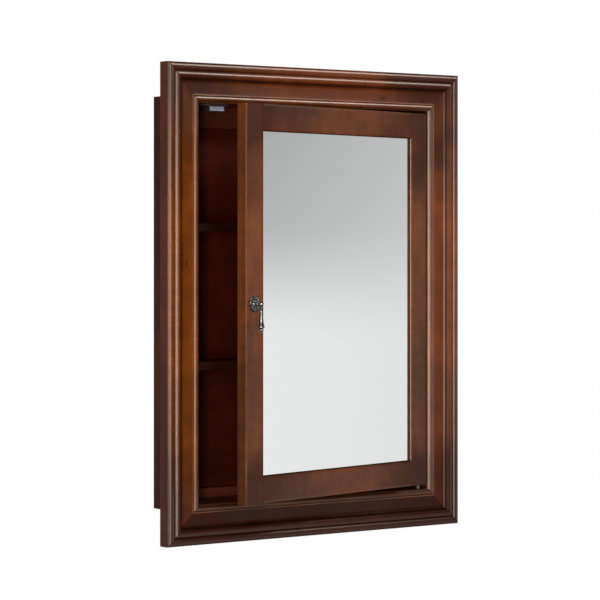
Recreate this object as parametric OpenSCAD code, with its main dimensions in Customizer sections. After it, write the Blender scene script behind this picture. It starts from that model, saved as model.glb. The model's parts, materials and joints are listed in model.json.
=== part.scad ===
// Wall cabinet with a mirrored door: a plain box with two shelves, a mitred and beaded face
// frame, an inset door on pin hinges with a drop pull, and a magnetic catch.
// Millimetres. X runs to the right, Y runs back into the wall and Z runs up. The origin is the
// middle of the back face, on the wall. The door stands ajar by door_ajar.

/* [Cabinet] */
// Overall width, across the face frame
cabinet_w = 686; // [560:1:830]
// Overall height, over the face frame
cabinet_h = 880; // [720:1:1060]
// Overall depth, from the wall to the front of the face frame
cabinet_d = 135; // [112:1:165]
// Thickness of the box panels
panel_t = 16; // [13:0.5:20]
// Thickness of the back panel
back_t = 6; // [5:0.2:8]
// How far the back panel laps over each box panel
back_lap = 8; // [6:0.2:10]
// Height of the hanging rail under the top panel
rail_h = 40; // [33:1:50]
// Height of the cleat on the bottom panel
cleat_h = 17; // [14:0.5:21]
// Thickness of the hanging rail and the cleat
rail_t = 16; // [13:0.5:20]
// Distance between the left and the right wall screws
wall_pitch = 406; // [330:1:490]
// Diameter of the wall screw holes
wall_hole_d = 6; // [5:0.1:8]

/* [Face frame] */
// Width of each frame member
member_w = 73; // [60:1:88]
// Thickness of the frame, from its back to the tops of the outer beads
frame_t = 28; // [23:0.5:34]
// Width of each outer bead
bead_w = 15; // [12:0.5:18]
// Height of an outer bead above the groove beside it
bead_rise = 3.5; // [2.5:0.1:4.5]
// Width of the ledge between the inner bead and the flat band
ledge_w = 1.5; // [1:0.1:2]
// Height of the bead's edge above that ledge
ledge_drop = 1; // [0.5:0.1:2]
// Depth of the flat band behind the tops of the outer beads
band_drop = 8; // [6:0.1:10]
// Width of the rounded lip at the opening
lip_w = 12.5; // [10:0.5:15]
// Radius of the rounded lip
lip_r = 8; // [6.5:0.1:9.6]
// Height of the lip above the flat band
lip_rise = 2.5; // [2:0.1:3]

/* [Shelves] */
// Thickness of each shelf
shelf_t = 16; // [13:0.5:20]
// How far the shelves stand back from the front of the box
shelf_setback = 16; // [13:0.5:20]
// Height of the lower shelf's underside above the bottom panel
lower_shelf_up = 243; // [200:1:290]
// Distance between two holes for the shelf pins
pin_pitch = 32; // [26:1:39]
// Number of hole steps from the lower shelf up to the upper shelf
shelf_steps = 8; // [7:1:9]
// Spare holes above and below each shelf
spare_holes = 2; // [0:1:2]
// Diameter of the shelf pins
shelf_pin_d = 5; // [4:0.1:6]
// Length of a shelf pin in the side panel
shelf_pin_in = 8; // [6:0.5:10]
// Length of a shelf pin under the shelf
shelf_pin_out = 8; // [6:0.5:10]

/* [Door] */
// Gap between the door and the opening, above it and on both sides
door_gap = 4; // [3.3:0.1:5]
// Gap under the door, which the hinge washer fills
door_gap_under = 7; // [5.8:0.1:8.4]
// Thickness of the door
door_t = 21; // [17.5:0.5:26]
// Width of the door's stiles
door_stile_w = 48; // [40:1:58]
// Width of the door's rails
door_rail_w = 50; // [41:1:60]
// How far the closed door's face lies behind the outer beads
door_set = 6.5; // [5.5:0.1:8]
// Angle at which the door stands ajar
door_ajar = 13.2; // [0:0.1:90]
// Thickness of the wood in front of the mirror
mirror_inset = 5; // [4.2:0.1:6]
// How far the wood laps over the mirror's edge
mirror_lap = 9; // [7.5:0.1:11]
// Thickness of the mirror
mirror_t = 4; // [3:0.1:5]
// Thickness of the board behind the mirror
backing_t = 4; // [3:0.1:5]
// Radius of the door's outer arrises
door_ease = 1.5; // [1:0.1:2]

/* [Hinges] */
// Distance from the door's hinge edge to the hinge axis
pivot_in = 16; // [13.3:0.1:19.5]
// Distance from the door's face back to the hinge axis
pivot_back = 8; // [6.8:0.1:9.6]
// Diameter of the hinge pins
hinge_pin_d = 5; // [4:0.1:6]
// Length of the hinge plates
hinge_plate_l = 34; // [33:0.5:37]
// Width of the hinge plates
hinge_plate_w = 11; // [9:0.1:13]
// Thickness of the hinge plates
hinge_plate_t = 2; // [1.6:0.1:2.4]

/* [Catch] */
// Distance from the opening's left edge to the middle of the catch
catch_x = 54; // [45:1:65]
// Width of the catch's body
catch_w = 34; // [28:0.5:41]
// Height of the catch's body
catch_h = 10.5; // [8.7:0.1:12.6]
// Depth of the catch's body
catch_depth = 16; // [13:0.5:19]
// Length of the ear on each side of the catch
catch_ear = 10; // [8:0.5:12]
// Thickness of the ears, under the top panel
catch_ear_t = 3; // [2:0.1:4]

/* [Pull] */
// Distance from the door's free edge to the middle of the pull
pull_in = 22; // [18:0.5:26]
// Diameter of the rosette
rosette_d = 31; // [26:0.5:36]
// Thickness of the rosette at its middle
rosette_t = 4; // [3.4:0.1:4.8]
// Distance from the door's face out to the drop's pin
pull_out = 17; // [16:0.5:20]
// Length of the drop below its pin
drop_l = 53; // [44:0.5:63]
// Radius of the drop's head
drop_head_r = 4.2; // [3.9:0.1:4.6]

/* [Hidden] */
$fn = 48;

// Clearances and small overlaps
cut = 1;             // a cutter runs this far past the face that it cuts
fit = 0.05;          // radial clearance of a dowel, a nail, a screw or a pin in its hole
shelf_fit = 2;       // gap at each end of a shelf
back_fit = 0.5;      // gap round the back panel in its rebate
glass_fit = 1;       // gap round the mirror and its board in their rebate
catch_fit = 0.3;     // gap between the strike plate and the catch when the door is shut
head_fit = 0.25;     // gap at each side of the pull's tongue, in the drop's slot

// Fasteners
dowel_d = 8;
dowel_l = 30;
door_dowel_d = 6;
brad_d = 1.8;
brad_l = 22;
brad_head_d = 3.6;
brad_head_t = 0.8;
spline_size = [40, 3, 16];
hinge_screw = [3, 14, 6, 1.7];     // diameter, length, head diameter, head height
clip_screw = [3, 10, 6, 1.8];
catch_screw = [3, 12, 6, 2];
strike_screw_size = [3, 10, 5.6, 1.3];
pull_screw_d = 4;
pull_screw_head = [8, 2.6];        // diameter, height

// The opening and the box
opening_w = cabinet_w - 2 * member_w;
opening_h = cabinet_h - 2 * member_w;
box_w = opening_w + 2 * panel_t;
box_h = opening_h + 2 * panel_t;
box_d = cabinet_d - frame_t;
box_front = -box_d;

// The face frame
bead_r = (bead_w * bead_w / 4 + bead_rise * bead_rise) / (2 * bead_rise);
lip_top = frame_t - band_drop + lip_rise;
spline_in = 40;       // from the outer edges to the middle of a spline
spline_back = 10;     // from the frame's back to the middle of a spline
dowel_corner = 90;    // from a corner of the opening to the nearest dowel
frame_dowel_in = 14;  // length of a dowel in the frame
box_dowel_in = 10;    // length of a dowel in a side panel
brad_corner = 40;     // from a corner of the opening to the nearest nail

// The shelves
shelf_front = box_front + shelf_setback;
shelf_back = -back_t - back_fit;
shelf_rows = [shelf_front + 20, shelf_back - 20];
shelf_ease = 1.5;
pin_flange = [9, 1.2];  // diameter, thickness
floor_z = -opening_h / 2;
lower_pin_z = floor_z + lower_shelf_up - shelf_pin_d / 2;
upper_pin_z = lower_pin_z + shelf_steps * pin_pitch;

// The closed door
door_w = opening_w - 2 * door_gap;
door_h = opening_h - door_gap - door_gap_under;
door_mid = (door_gap_under - door_gap) / 2;
door_face = -cabinet_d + door_set;
door_back = door_face + door_t;
stile_rebate = door_stile_w - mirror_lap;
rail_rebate = door_rail_w - mirror_lap;
glass_w = door_w - 2 * stile_rebate - 2 * glass_fit;
glass_h = door_h - 2 * rail_rebate - 2 * glass_fit;
glass_front = door_face + mirror_inset + fit;
board_back = glass_front + mirror_t + backing_t;
rear_mid = door_face + (mirror_inset + door_t) / 2;
door_dowel_l = 30;
door_dowel_z = [hinge_screw[1] + door_dowel_d / 2 + 1, rail_rebate - door_dowel_d / 2 - 2];

// The clips behind the mirror
clip_w = 14;
clip_t = 1.2;
clip_foot = 14;
clip_toe = 9;
clip_drop = door_back - board_back;
clip_corner_z = 120;  // from the door's top or bottom edge to the nearest clip
clip_corner_x = 150;  // from the door's left or right edge to the nearest clip

// The hinges
pivot = [door_w / 2 - pivot_in, door_face + pivot_back];
pin_in_door = 8;                                         // depth of the pin's hole
plate_edge = 3;                                          // from the door's edge to a plate
plate_screws = [plate_edge + 4.5, hinge_plate_l - 4.5];  // from the door's edge
washer_d = 10;

// The catch
catch_mid = -opening_w / 2 + catch_x;
catch_wall = 1.5;
strike_t = 1.5;
strike_h = catch_h - 1;
strike_mid = door_h / 2 - 0.5 - strike_h / 2;  // above the door's middle
catch_screw_back = 5;                          // from the housing's front
pole_proud = 0.8;
pole_front = door_back + strike_t + catch_fit;
housing_front = pole_front + pole_proud;
housing_top = opening_h / 2 - catch_ear_t;
pole_t = 1.8;

// The pull, about the middle of its rosette on the door's face
pull_x = -door_w / 2 + pull_in;
post_r = 3.6;
post_end = pull_out - 5;
tongue_t = 3;
tongue_r = 3.5;
pull_pin_r = 1;
post_bore = 7;
post_flange_r = 5;
post_flange_t = 1.4;
slot_drop = 4.8;    // depth of the head's slot below the pin
drop_neck_r = 3.9;
petals = 8;
petal_r = 5.4;

wood = "saddlebrown";
dark_wood = "sienna";
raw_wood = "tan";
steel = "silver";
pewter = "dimgray";

// ---- Helpers ----

// Even places from -half to half
function spread(half, count) = [for (i = [0 : count - 1]) half * (2 * i / (count - 1) - 1)];

// A rectangle from the origin with rounded corners
module eased(w, h, r) {
  translate([r, 0]) square([w - 2 * r, h]);
  translate([0, r]) square([w, h - 2 * r]);
  for (x = [r, w - r], y = [r, h - r]) translate([x, y]) circle(r);
}

// A screw that points down, with the underside or the top of its head at the origin.
// size is [diameter, length, head diameter, head height].
module screw(size, sunk = false) {
  head_top = sunk ? 0 : size[3];
  difference() {
    union() {
      translate([0, 0, -size[1]]) cylinder(d = size[0], h = size[1]);
      if (sunk) translate([0, 0, -size[3]]) cylinder(d1 = size[0], d2 = size[2], h = size[3]);
      else pan_head(size[2], size[3]);
    }
    for (turn = [0, 90]) {
      rotate([0, 0, turn]) translate([0, 0, head_top])
        cube([size[2] * 0.55, size[2] * 0.13, size[3]], center = true);
    }
  }
}

module pan_head(d, h) {
  cylinder(d = d, h = h / 2);
  translate([0, 0, h / 2]) cylinder(d1 = d, d2 = d * 0.6, h = h / 2);
}

// The hole for a screw
module screw_hole(size, sunk = false) {
  translate([0, 0, -size[1] - cut / 2]) cylinder(d = size[0] + 2 * fit, h = size[1] + cut);
  if (sunk) {
    translate([0, 0, -size[3]])
      cylinder(d1 = size[0] + 2 * fit, d2 = size[2] + 2 * fit, h = size[3]);
    cylinder(d = size[2] + 2 * fit, h = cut / 2);
  }
}

// Turns a child's Z axis to +X, to -Y or to +Y
module along_x() rotate([0, 90, 0]) children();
module along_front() rotate([90, 0, 0]) children();
module along_back() rotate([-90, 0, 0]) children();

// Raises the closed door's pieces to the opening and swings them open about the hinge axis.
// Their Z = 0 is the door's middle.
module ajar() {
  translate([pivot[0], pivot[1], door_mid])
    rotate([0, 0, door_ajar])
      translate([-pivot[0], -pivot[1], 0]) children();
}

// ---- The box ----

module box_dowels_at(clear = 0) {
  for (side = [-1, 1], end = [-1, 1], y = [box_front + 22, -back_t - 22]) {
    translate([side * (opening_w / 2 + box_dowel_in), y, end * (box_h - panel_t) / 2])
      rotate([0, -90 * side, 0])
        translate([0, 0, -clear]) cylinder(d = dowel_d + 2 * clear, h = dowel_l + 2 * clear);
  }
}

module frame_dowels_at(clear = 0) {
  reach_x = opening_w / 2 - dowel_corner;
  reach_z = opening_h / 2 - dowel_corner;
  places = concat(
    [for (x = spread(reach_x, 2), side = [-1, 1]) [x, side * (box_h - panel_t) / 2]],
    [for (z = spread(reach_z, 3), side = [-1, 1]) [side * (box_w - panel_t) / 2, z]]
  );
  for (p = places) {
    translate([p[0], box_front - frame_dowel_in - clear, p[1]])
      along_back() cylinder(d = dowel_d + 2 * clear, h = dowel_l + 2 * clear);
  }
}

module brads_at(clear = 0) {
  lap_x = opening_w / 2 + back_lap / 2;
  lap_z = opening_h / 2 + back_lap / 2;
  reach_x = opening_w / 2 - brad_corner;
  reach_z = opening_h / 2 - brad_corner;
  places = concat(
    [for (x = spread(reach_x, 5), side = [-1, 1]) [x, side * lap_z]],
    [for (z = spread(reach_z, 6), side = [-1, 1]) [side * lap_x, z]],
    [for (x = spread(reach_x, 4)) [x, opening_h / 2 - rail_h / 2]],
    [for (x = spread(reach_x, 4)) [x, floor_z + cleat_h / 2]]
  );
  for (p = places) translate([p[0], 0, p[1]]) along_front() {
    cylinder(d = brad_d + 2 * clear, h = brad_l + clear);
    translate([0, 0, -clear]) cylinder(d = brad_head_d + 2 * clear, h = brad_head_t + clear);
  }
}

module wall_holes() {
  for (x = [-1, 1] * wall_pitch / 2, z = [opening_h / 2 - rail_h / 2, floor_z + cleat_h / 2]) {
    translate([x, cut, z]) along_front() cylinder(d = wall_hole_d, h = back_t + rail_t + 2 * cut);
  }
}

module back_rebate() {
  w = opening_w + 2 * back_lap;
  h = opening_h + 2 * back_lap;
  translate([-w / 2, -back_t, -h / 2]) cube([w, back_t + cut, h]);
}

// Shelf pins at one height, from both side panels, or their holes
module shelf_pins_at(z) {
  for (side = [-1, 1], y = shelf_rows) translate([side * opening_w / 2, y, z]) {
    rotate([0, -90 * side, 0]) {
      translate([0, 0, -shelf_pin_in])
        cylinder(d = shelf_pin_d, h = shelf_pin_in + shelf_pin_out);
      cylinder(d = pin_flange[0], h = pin_flange[1]);
    }
  }
}

module shelf_holes(side) {
  steps = [-spare_holes : spare_holes];
  for (z0 = [lower_pin_z, upper_pin_z], step = steps, y = shelf_rows) {
    translate([side * (opening_w / 2 + shelf_pin_in), y, z0 + step * pin_pitch])
      rotate([0, -90 * side, 0]) translate([0, 0, -fit])
        cylinder(d = shelf_pin_d + 2 * fit, h = shelf_pin_in + cut);
  }
}

module side_panel(side) {
  color(wood) difference() {
    translate([side * (box_w - panel_t) / 2, -box_d / 2, 0])
      cube([panel_t, box_d, box_h], center = true);
    back_rebate();
    box_dowels_at(fit);
    frame_dowels_at(fit);
    brads_at(fit);
    shelf_holes(side);
  }
}

module end_panel(end) {
  color(wood) difference() {
    translate([0, -box_d / 2, end * (box_h - panel_t) / 2])
      cube([opening_w, box_d, panel_t], center = true);
    back_rebate();
    box_dowels_at(fit);
    frame_dowels_at(fit);
    brads_at(fit);
    if (end > 0) catch_screws_at() screw_hole(catch_screw);
  }
}

module left_side() side_panel(-1);
module right_side() side_panel(1);
module top_panel() end_panel(1);
module bottom_panel() end_panel(-1);

module back_panel() {
  w = opening_w + 2 * back_lap - 2 * back_fit;
  h = opening_h + 2 * back_lap - 2 * back_fit;
  color(dark_wood) difference() {
    translate([-w / 2, -back_t, -h / 2]) cube([w, back_t, h]);
    brads_at(fit);
    wall_holes();
  }
}

module cross_rail(z, h) {
  color(wood) difference() {
    translate([-opening_w / 2, -back_t - rail_t, z]) cube([opening_w, rail_t, h]);
    brads_at(fit);
    wall_holes();
  }
}

module hanging_rail() cross_rail(opening_h / 2 - rail_h, rail_h);
module bottom_cleat() cross_rail(floor_z, cleat_h);
module box_dowels() color(raw_wood) box_dowels_at();
module frame_dowels() color(raw_wood) frame_dowels_at();
module back_brads() color(steel) brads_at();

// ---- The face frame ----

// Section of a frame member: X from the outer edge in to the opening, Y from the back forward
module member_section() {
  square([2 * bead_w, frame_t - bead_rise]);
  square([2 * bead_w + ledge_w, frame_t - bead_rise - ledge_drop]);
  square([member_w - lip_r, frame_t - band_drop]);
  square([member_w, lip_top - lip_r]);
  for (start = [0, bead_w]) intersection() {
    translate([start + bead_w / 2, frame_t - bead_r]) circle(bead_r);
    translate([start, frame_t - bead_rise]) square([bead_w, bead_rise]);
  }
  intersection() {
    translate([member_w - lip_r, lip_top - lip_r]) circle(lip_r);
    translate([member_w - lip_w, 0]) square([lip_w, frame_t]);
  }
}

// A mitred member that lies along X with its outer edge down
module mitred_member(length) {
  half = length / 2;
  intersection() {
    rotate([180, -90, 0]) linear_extrude(length, center = true) member_section();
    along_front() linear_extrude(frame_t)
      polygon([[-half, 0], [half, 0], [half - member_w, member_w], [member_w - half, member_w]]);
  }
}

module splines_at(clear = 0) {
  for (side = [-1, 1], end = [-1, 1]) {
    x = side * (cabinet_w / 2 - spline_in);
    z = end * (cabinet_h / 2 - spline_in);
    translate([x, box_front - spline_back, z]) rotate([0, 45 * side * end, 0])
      cube(spline_size + 2 * [clear, clear, clear], center = true);
  }
}

// A frame member: turn 0 is the bottom rail, 90 the left stile, 180 the top rail
module frame_member(turn, length, span) {
  color(wood) difference() {
    translate([0, box_front, 0]) rotate([0, turn, 0])
      translate([0, 0, -span / 2]) mitred_member(length);
    splines_at(fit);
    frame_dowels_at(fit);
    for (end = [-1, 1]) hinge_seat(end);
  }
}

module frame_bottom_rail() frame_member(0, cabinet_w, cabinet_h);
module frame_left_stile() frame_member(90, cabinet_h, cabinet_w);
module frame_top_rail() frame_member(180, cabinet_w, cabinet_h);
module frame_right_stile() frame_member(-90, cabinet_h, cabinet_w);
module mitre_splines() color(raw_wood) splines_at();

// ---- The shelves ----

module shelf_board(pin_z) {
  w = opening_w - 2 * shelf_fit;
  color(wood) translate([-w / 2, shelf_front, pin_z + shelf_pin_d / 2])
    rotate([90, 0, 90]) linear_extrude(w) eased(shelf_back - shelf_front, shelf_t, shelf_ease);
}

module upper_shelf() shelf_board(upper_pin_z);
module lower_shelf() shelf_board(lower_pin_z);
module upper_shelf_pins() color(steel) shelf_pins_at(upper_pin_z);
module lower_shelf_pins() color(steel) shelf_pins_at(lower_pin_z);

// ---- The catch ----

module catch_screws_at() {
  for (side = [-1, 1]) {
    x = catch_mid + side * (catch_w + catch_ear) / 2;
    translate([x, housing_front + catch_screw_back, housing_top]) rotate([180, 0, 0]) children();
  }
}

module catch_housing() {
  plate_w = catch_w + 2 * catch_ear;
  color("lightgray") difference() {
    union() {
      translate([catch_mid - catch_w / 2, housing_front, housing_top - catch_h])
        cube([catch_w, catch_depth, catch_h]);
      translate([catch_mid - plate_w / 2, housing_front + 1, housing_top])
        cube([plate_w, catch_depth - 2, catch_ear_t]);
    }
    translate([catch_mid, housing_front - cut, housing_top - catch_h / 2])
      translate([catch_wall - catch_w / 2, 0, catch_wall - catch_h / 2])
        cube([catch_w - 2 * catch_wall, catch_depth - catch_wall + cut, catch_h - 2 * catch_wall]);
    catch_screws_at() screw_hole(catch_screw);
  }
}

// A slab in the housing: z0 and z1 are heights above the cavity's floor
module catch_slab(front, z0, z1) {
  inner_w = catch_w - 2 * catch_wall - 2 * fit;
  back = housing_front + catch_depth - catch_wall;
  translate([catch_mid - inner_w / 2, front, housing_top - catch_h + catch_wall + z0])
    cube([inner_w, back - front, z1 - z0]);
}

module catch_magnet() {
  cavity_h = catch_h - 2 * catch_wall;
  color("darkslategray") catch_slab(housing_front, pole_t, cavity_h - pole_t);
}

module catch_pole_plates() {
  cavity_h = catch_h - 2 * catch_wall;
  color(steel) catch_slab(pole_front, 0, pole_t);
  color(steel) catch_slab(pole_front, cavity_h - pole_t, cavity_h);
}

module catch_screws() color(steel) catch_screws_at() screw(catch_screw);

// ---- The hinges ----

// A hinge plate: its top face is at Z = 0 and X = 0 is the door's hinge edge
module hinge_plate(clear = 0) {
  above = clear > 0 ? cut : 0;
  translate([-plate_edge - hinge_plate_l, pivot[1] - hinge_plate_w / 2, -hinge_plate_t])
    translate([-clear, -clear, 0])
      cube([hinge_plate_l + 2 * clear, hinge_plate_w + 2 * clear, hinge_plate_t + above]);
}

module plate_screws_at() {
  for (x = plate_screws) translate([-x, pivot[1], 0]) children();
}

// Places a child at the door's hinge edge, on the opening's face at the top (1) or bottom (-1)
module on_frame(end) {
  mirror([0, 0, end < 0 ? 1 : 0])
    translate([door_w / 2, 0, opening_h / 2]) mirror([0, 0, 1]) children();
}

// The same on the door's end
module on_door(end) {
  mirror([0, 0, end < 0 ? 1 : 0]) translate([door_w / 2, 0, door_h / 2]) children();
}

// What a frame rail loses for its hinge plate
module hinge_seat(end) {
  on_frame(end) {
    hinge_plate(fit);
    plate_screws_at() screw_hole(hinge_screw);
  }
}

module pin_plate(end) {
  gap = end > 0 ? door_gap : door_gap_under;
  color("goldenrod") difference() {
    union() {
      on_frame(end) hinge_plate();
      on_frame(end) translate([-pivot_in, pivot[1], -hinge_plate_t])
        cylinder(d = hinge_pin_d, h = hinge_plate_t + gap + pin_in_door - cut);
    }
    on_frame(end) plate_screws_at() screw_hole(hinge_screw, true);
  }
}

module door_plate(end) {
  color("goldenrod") ajar() difference() {
    on_door(end) hinge_plate();
    on_door(end) plate_screws_at() screw_hole(hinge_screw, true);
    on_door(end) translate([-pivot_in, pivot[1], -hinge_plate_t - cut])
      cylinder(d = hinge_pin_d + 2 * fit, h = hinge_plate_t + 2 * cut);
  }
}

// What a door stile loses for its hinge plate
module door_hinge_seat(end) {
  on_door(end) {
    hinge_plate(fit);
    plate_screws_at() screw_hole(hinge_screw);
    translate([-pivot_in, pivot[1], -pin_in_door])
      cylinder(d = hinge_pin_d + 1, h = pin_in_door + cut);
  }
}

module top_hinge_pin_plate() pin_plate(1);
module bottom_hinge_pin_plate() pin_plate(-1);
module top_hinge_door_plate() door_plate(1);
module bottom_hinge_door_plate() door_plate(-1);

module hinge_washer() {
  color("ivory") translate([pivot[0], pivot[1], floor_z]) difference() {
    cylinder(d = washer_d, h = door_gap_under);
    translate([0, 0, -cut]) cylinder(d = hinge_pin_d + 4 * fit, h = door_gap_under + 2 * cut);
  }
}

module frame_hinge_screws() {
  color("goldenrod") for (end = [-1, 1]) on_frame(end) plate_screws_at() screw(hinge_screw, true);
}

module door_hinge_screws() {
  color("goldenrod") ajar()
    for (end = [-1, 1]) on_door(end) plate_screws_at() screw(hinge_screw, true);
}

// ---- The door ----

// Section of a door member: X from its outer edge in, Y from the face back
module door_section(w) {
  difference() {
    eased(w, door_t, door_ease);
    translate([w - mirror_lap, -cut]) square([mirror_lap + cut, door_t + 2 * cut]);
  }
  translate([w - mirror_lap, 0]) square([mirror_lap, mirror_inset]);
}

// The part of the section behind the mirror's face, which laps over the stiles
module door_section_rear(w) {
  intersection() {
    door_section(w);
    translate([0, mirror_inset]) square([w - mirror_lap, door_t]);
  }
}

module door_dowels_at(clear = 0) {
  for (side = [-1, 1], end = [-1, 1], inset = door_dowel_z) {
    translate([side * (door_w / 2 - stile_rebate), rear_mid, end * (door_h / 2 - inset)]) along_x()
      cylinder(d = door_dowel_d + 2 * clear, h = door_dowel_l + 2 * clear, center = true);
  }
}

// Places a child on each clip's spot: X = 0 is the rebate's edge, +X points to the glass
module clips_at() {
  edge_x = door_w / 2 - stile_rebate;
  edge_z = door_h / 2 - rail_rebate;
  for (z = spread(door_h / 2 - clip_corner_z, 4)) {
    translate([-edge_x, door_back, z]) children();
    translate([edge_x, door_back, z]) rotate([0, 180, 0]) children();
  }
  for (x = spread(door_w / 2 - clip_corner_x, 2)) {
    translate([x, door_back, -edge_z]) rotate([0, -90, 0]) children();
    translate([x, door_back, edge_z]) rotate([0, 90, 0]) children();
  }
}

module clip_screw_at() translate([-clip_foot / 2, clip_t, 0]) along_back() children();

module pull_screw_hole() {
  translate([pull_x, door_face - rosette_t - cut, 0]) along_back()
    cylinder(d = pull_screw_d + 4 * fit, h = door_t + rosette_t + 2 * cut);
}

module door_cuts() {
  door_dowels_at(fit);
  clips_at() clip_screw_at() screw_hole(clip_screw);
  strike_screw_at() screw_hole(strike_screw_size);
}

module door_left_stile() {
  color(wood) ajar() difference() {
    translate([-door_w / 2, door_face, -door_h / 2])
      linear_extrude(door_h) door_section(door_stile_w);
    door_cuts();
    pull_screw_hole();
  }
}

module door_right_stile() {
  color(wood) ajar() difference() {
    mirror([1, 0, 0]) translate([-door_w / 2, door_face, -door_h / 2])
      linear_extrude(door_h) door_section(door_stile_w);
    door_cuts();
    for (end = [-1, 1]) door_hinge_seat(end);
  }
}

module door_rail(end) {
  color(wood) ajar() difference() {
    mirror([0, 0, end > 0 ? 1 : 0]) translate([0, door_face, -door_h / 2]) rotate([0, -90, 0]) {
      linear_extrude(door_w - 2 * door_stile_w, center = true) door_section(door_rail_w);
      linear_extrude(door_w - 2 * stile_rebate, center = true) door_section_rear(door_rail_w);
    }
    door_cuts();
    door_hinge_seat(end);
  }
}

module door_top_rail() door_rail(1);
module door_bottom_rail() door_rail(-1);
module door_dowels() color(raw_wood) ajar() door_dowels_at();

module mirror_glass() {
  color("lightblue") ajar() translate([-glass_w / 2, glass_front, -glass_h / 2])
    cube([glass_w, mirror_t, glass_h]);
}

module mirror_backing() {
  color("peru") ajar() translate([-glass_w / 2, glass_front + mirror_t, -glass_h / 2])
    cube([glass_w, backing_t, glass_h]);
}

module mirror_clips() {
  color(steel) ajar() clips_at() difference() {
    translate([0, 0, -clip_w / 2]) linear_extrude(clip_w) {
      translate([-clip_foot, 0]) square([clip_foot + fit + clip_t, clip_t]);
      translate([fit, -clip_drop]) square([clip_t, clip_drop + clip_t]);
      translate([fit, -clip_drop]) square([clip_toe, clip_t]);
    }
    clip_screw_at() screw_hole(clip_screw);
  }
}

module mirror_clip_screws() color(steel) ajar() clips_at() clip_screw_at() screw(clip_screw);

module strike_screw_at() {
  translate([catch_mid, door_back + strike_t, strike_mid]) along_back() children();
}

module strike_plate() {
  color(steel) ajar() difference() {
    translate([catch_mid - catch_w / 2, door_back, strike_mid - strike_h / 2])
      cube([catch_w, strike_t, strike_h]);
    strike_screw_at() screw_hole(strike_screw_size, true);
  }
}

module strike_screw() color(steel) ajar() strike_screw_at() screw(strike_screw_size, true);

// ---- The pull ----

// Places a child on the pull's spot on the door's face, with Z pointing out of the door
module on_pull(out = 0) {
  ajar() translate([pull_x, door_face - out, 0]) along_front() children();
}

module pull_rosette() {
  ring_r = rosette_d / 2 - petal_r;
  color(pewter) on_pull() difference() {
    union() {
      linear_extrude(rosette_t * 0.45) {
        circle(ring_r);
        for (i = [0 : petals - 1]) rotate(360 / petals * i) translate([ring_r, 0]) circle(petal_r);
      }
      linear_extrude(rosette_t * 0.7) {
        circle(ring_r * 0.9);
        for (i = [0 : petals - 1])
          rotate(360 / petals * i) translate([ring_r * 0.9, 0]) circle(petal_r * 0.6);
      }
      cylinder(r1 = ring_r, r2 = post_flange_r, h = rosette_t);
    }
    translate([0, 0, -cut]) cylinder(d = pull_screw_d + 4 * fit, h = rosette_t + 2 * cut);
  }
}

module pull_post() {
  color(pewter) on_pull() difference() {
    union() {
      translate([0, 0, rosette_t]) cylinder(r = post_r, h = post_end - rosette_t);
      translate([0, 0, rosette_t]) cylinder(r = post_flange_r, h = post_flange_t);
      along_x() translate([0, 0, -tongue_t / 2]) linear_extrude(tongue_t) {
        translate([-pull_out, 0]) circle(tongue_r);
        translate([-pull_out, -tongue_r]) square([pull_out - post_end + cut, 2 * tongue_r]);
      }
    }
    translate([0, 0, rosette_t - cut])
      cylinder(d = pull_screw_d + 2 * fit, h = post_bore + cut);
    translate([0, 0, pull_out]) along_x()
      cylinder(r = pull_pin_r + fit, h = 2 * tongue_t, center = true);
  }
}

module pull_screw() {
  length = door_t + rosette_t + post_bore - 1;
  color(steel) ajar() translate([pull_x, door_back, 0]) along_back()
    screw([pull_screw_d, length, pull_screw_head[0], pull_screw_head[1]]);
}

// Half of the drop's outline, from the neck down: [radius, distance below the pin]
drop_outline = [
  [drop_neck_r, 0], [drop_neck_r, 7], [drop_neck_r - 0.5, 8.4], [3.2, 13], [3.2, drop_l - 35],
  [3.7, drop_l - 25], [4.6, drop_l - 17], [5.6, drop_l - 12.6], [5.9, drop_l - 10.6],
  [5.5, drop_l - 9.2], [3.8, drop_l - 8.4], [3.7, drop_l - 7.8], [4.6, drop_l - 6.8],
  [4.6, drop_l - 5.6], [3.2, drop_l - 4.6], [2.2, drop_l - 3.4], [2, drop_l - 1.4],
  [1.2, drop_l - 0.3], [0, drop_l]
];

module pull_drop() {
  color(pewter) on_pull(pull_out) rotate([-90, 0, 0]) difference() {
    union() {
      sphere(drop_head_r);
      rotate_extrude() polygon(concat([[0, 0]], [for (p = drop_outline) [p[0], -p[1]]]));
    }
    translate([-tongue_t / 2 - head_fit, -10, -slot_drop])
      cube([tongue_t + 2 * head_fit, 20, slot_drop + 10]);
    along_x() cylinder(r = pull_pin_r + fit / 2, h = 20, center = true);
  }
}

module pull_pin() {
  length = 2 * drop_head_r - 1;
  color(steel) on_pull(pull_out) along_x() cylinder(r = pull_pin_r, h = length, center = true);
}

left_side();
right_side();
top_panel();
bottom_panel();
back_panel();
hanging_rail();
bottom_cleat();
frame_left_stile();
frame_right_stile();
frame_top_rail();
frame_bottom_rail();
mitre_splines();
frame_dowels();
box_dowels();
back_brads();
upper_shelf();
lower_shelf();
upper_shelf_pins();
lower_shelf_pins();
catch_housing();
catch_magnet();
catch_pole_plates();
catch_screws();
top_hinge_pin_plate();
bottom_hinge_pin_plate();
hinge_washer();
frame_hinge_screws();
door_left_stile();
door_right_stile();
door_top_rail();
door_bottom_rail();
door_dowels();
mirror_glass();
mirror_backing();
mirror_clips();
mirror_clip_screws();
top_hinge_door_plate();
bottom_hinge_door_plate();
door_hinge_screws();
strike_plate();
strike_screw();
pull_rosette();
pull_post();
pull_screw();
pull_drop();
pull_pin();
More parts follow.
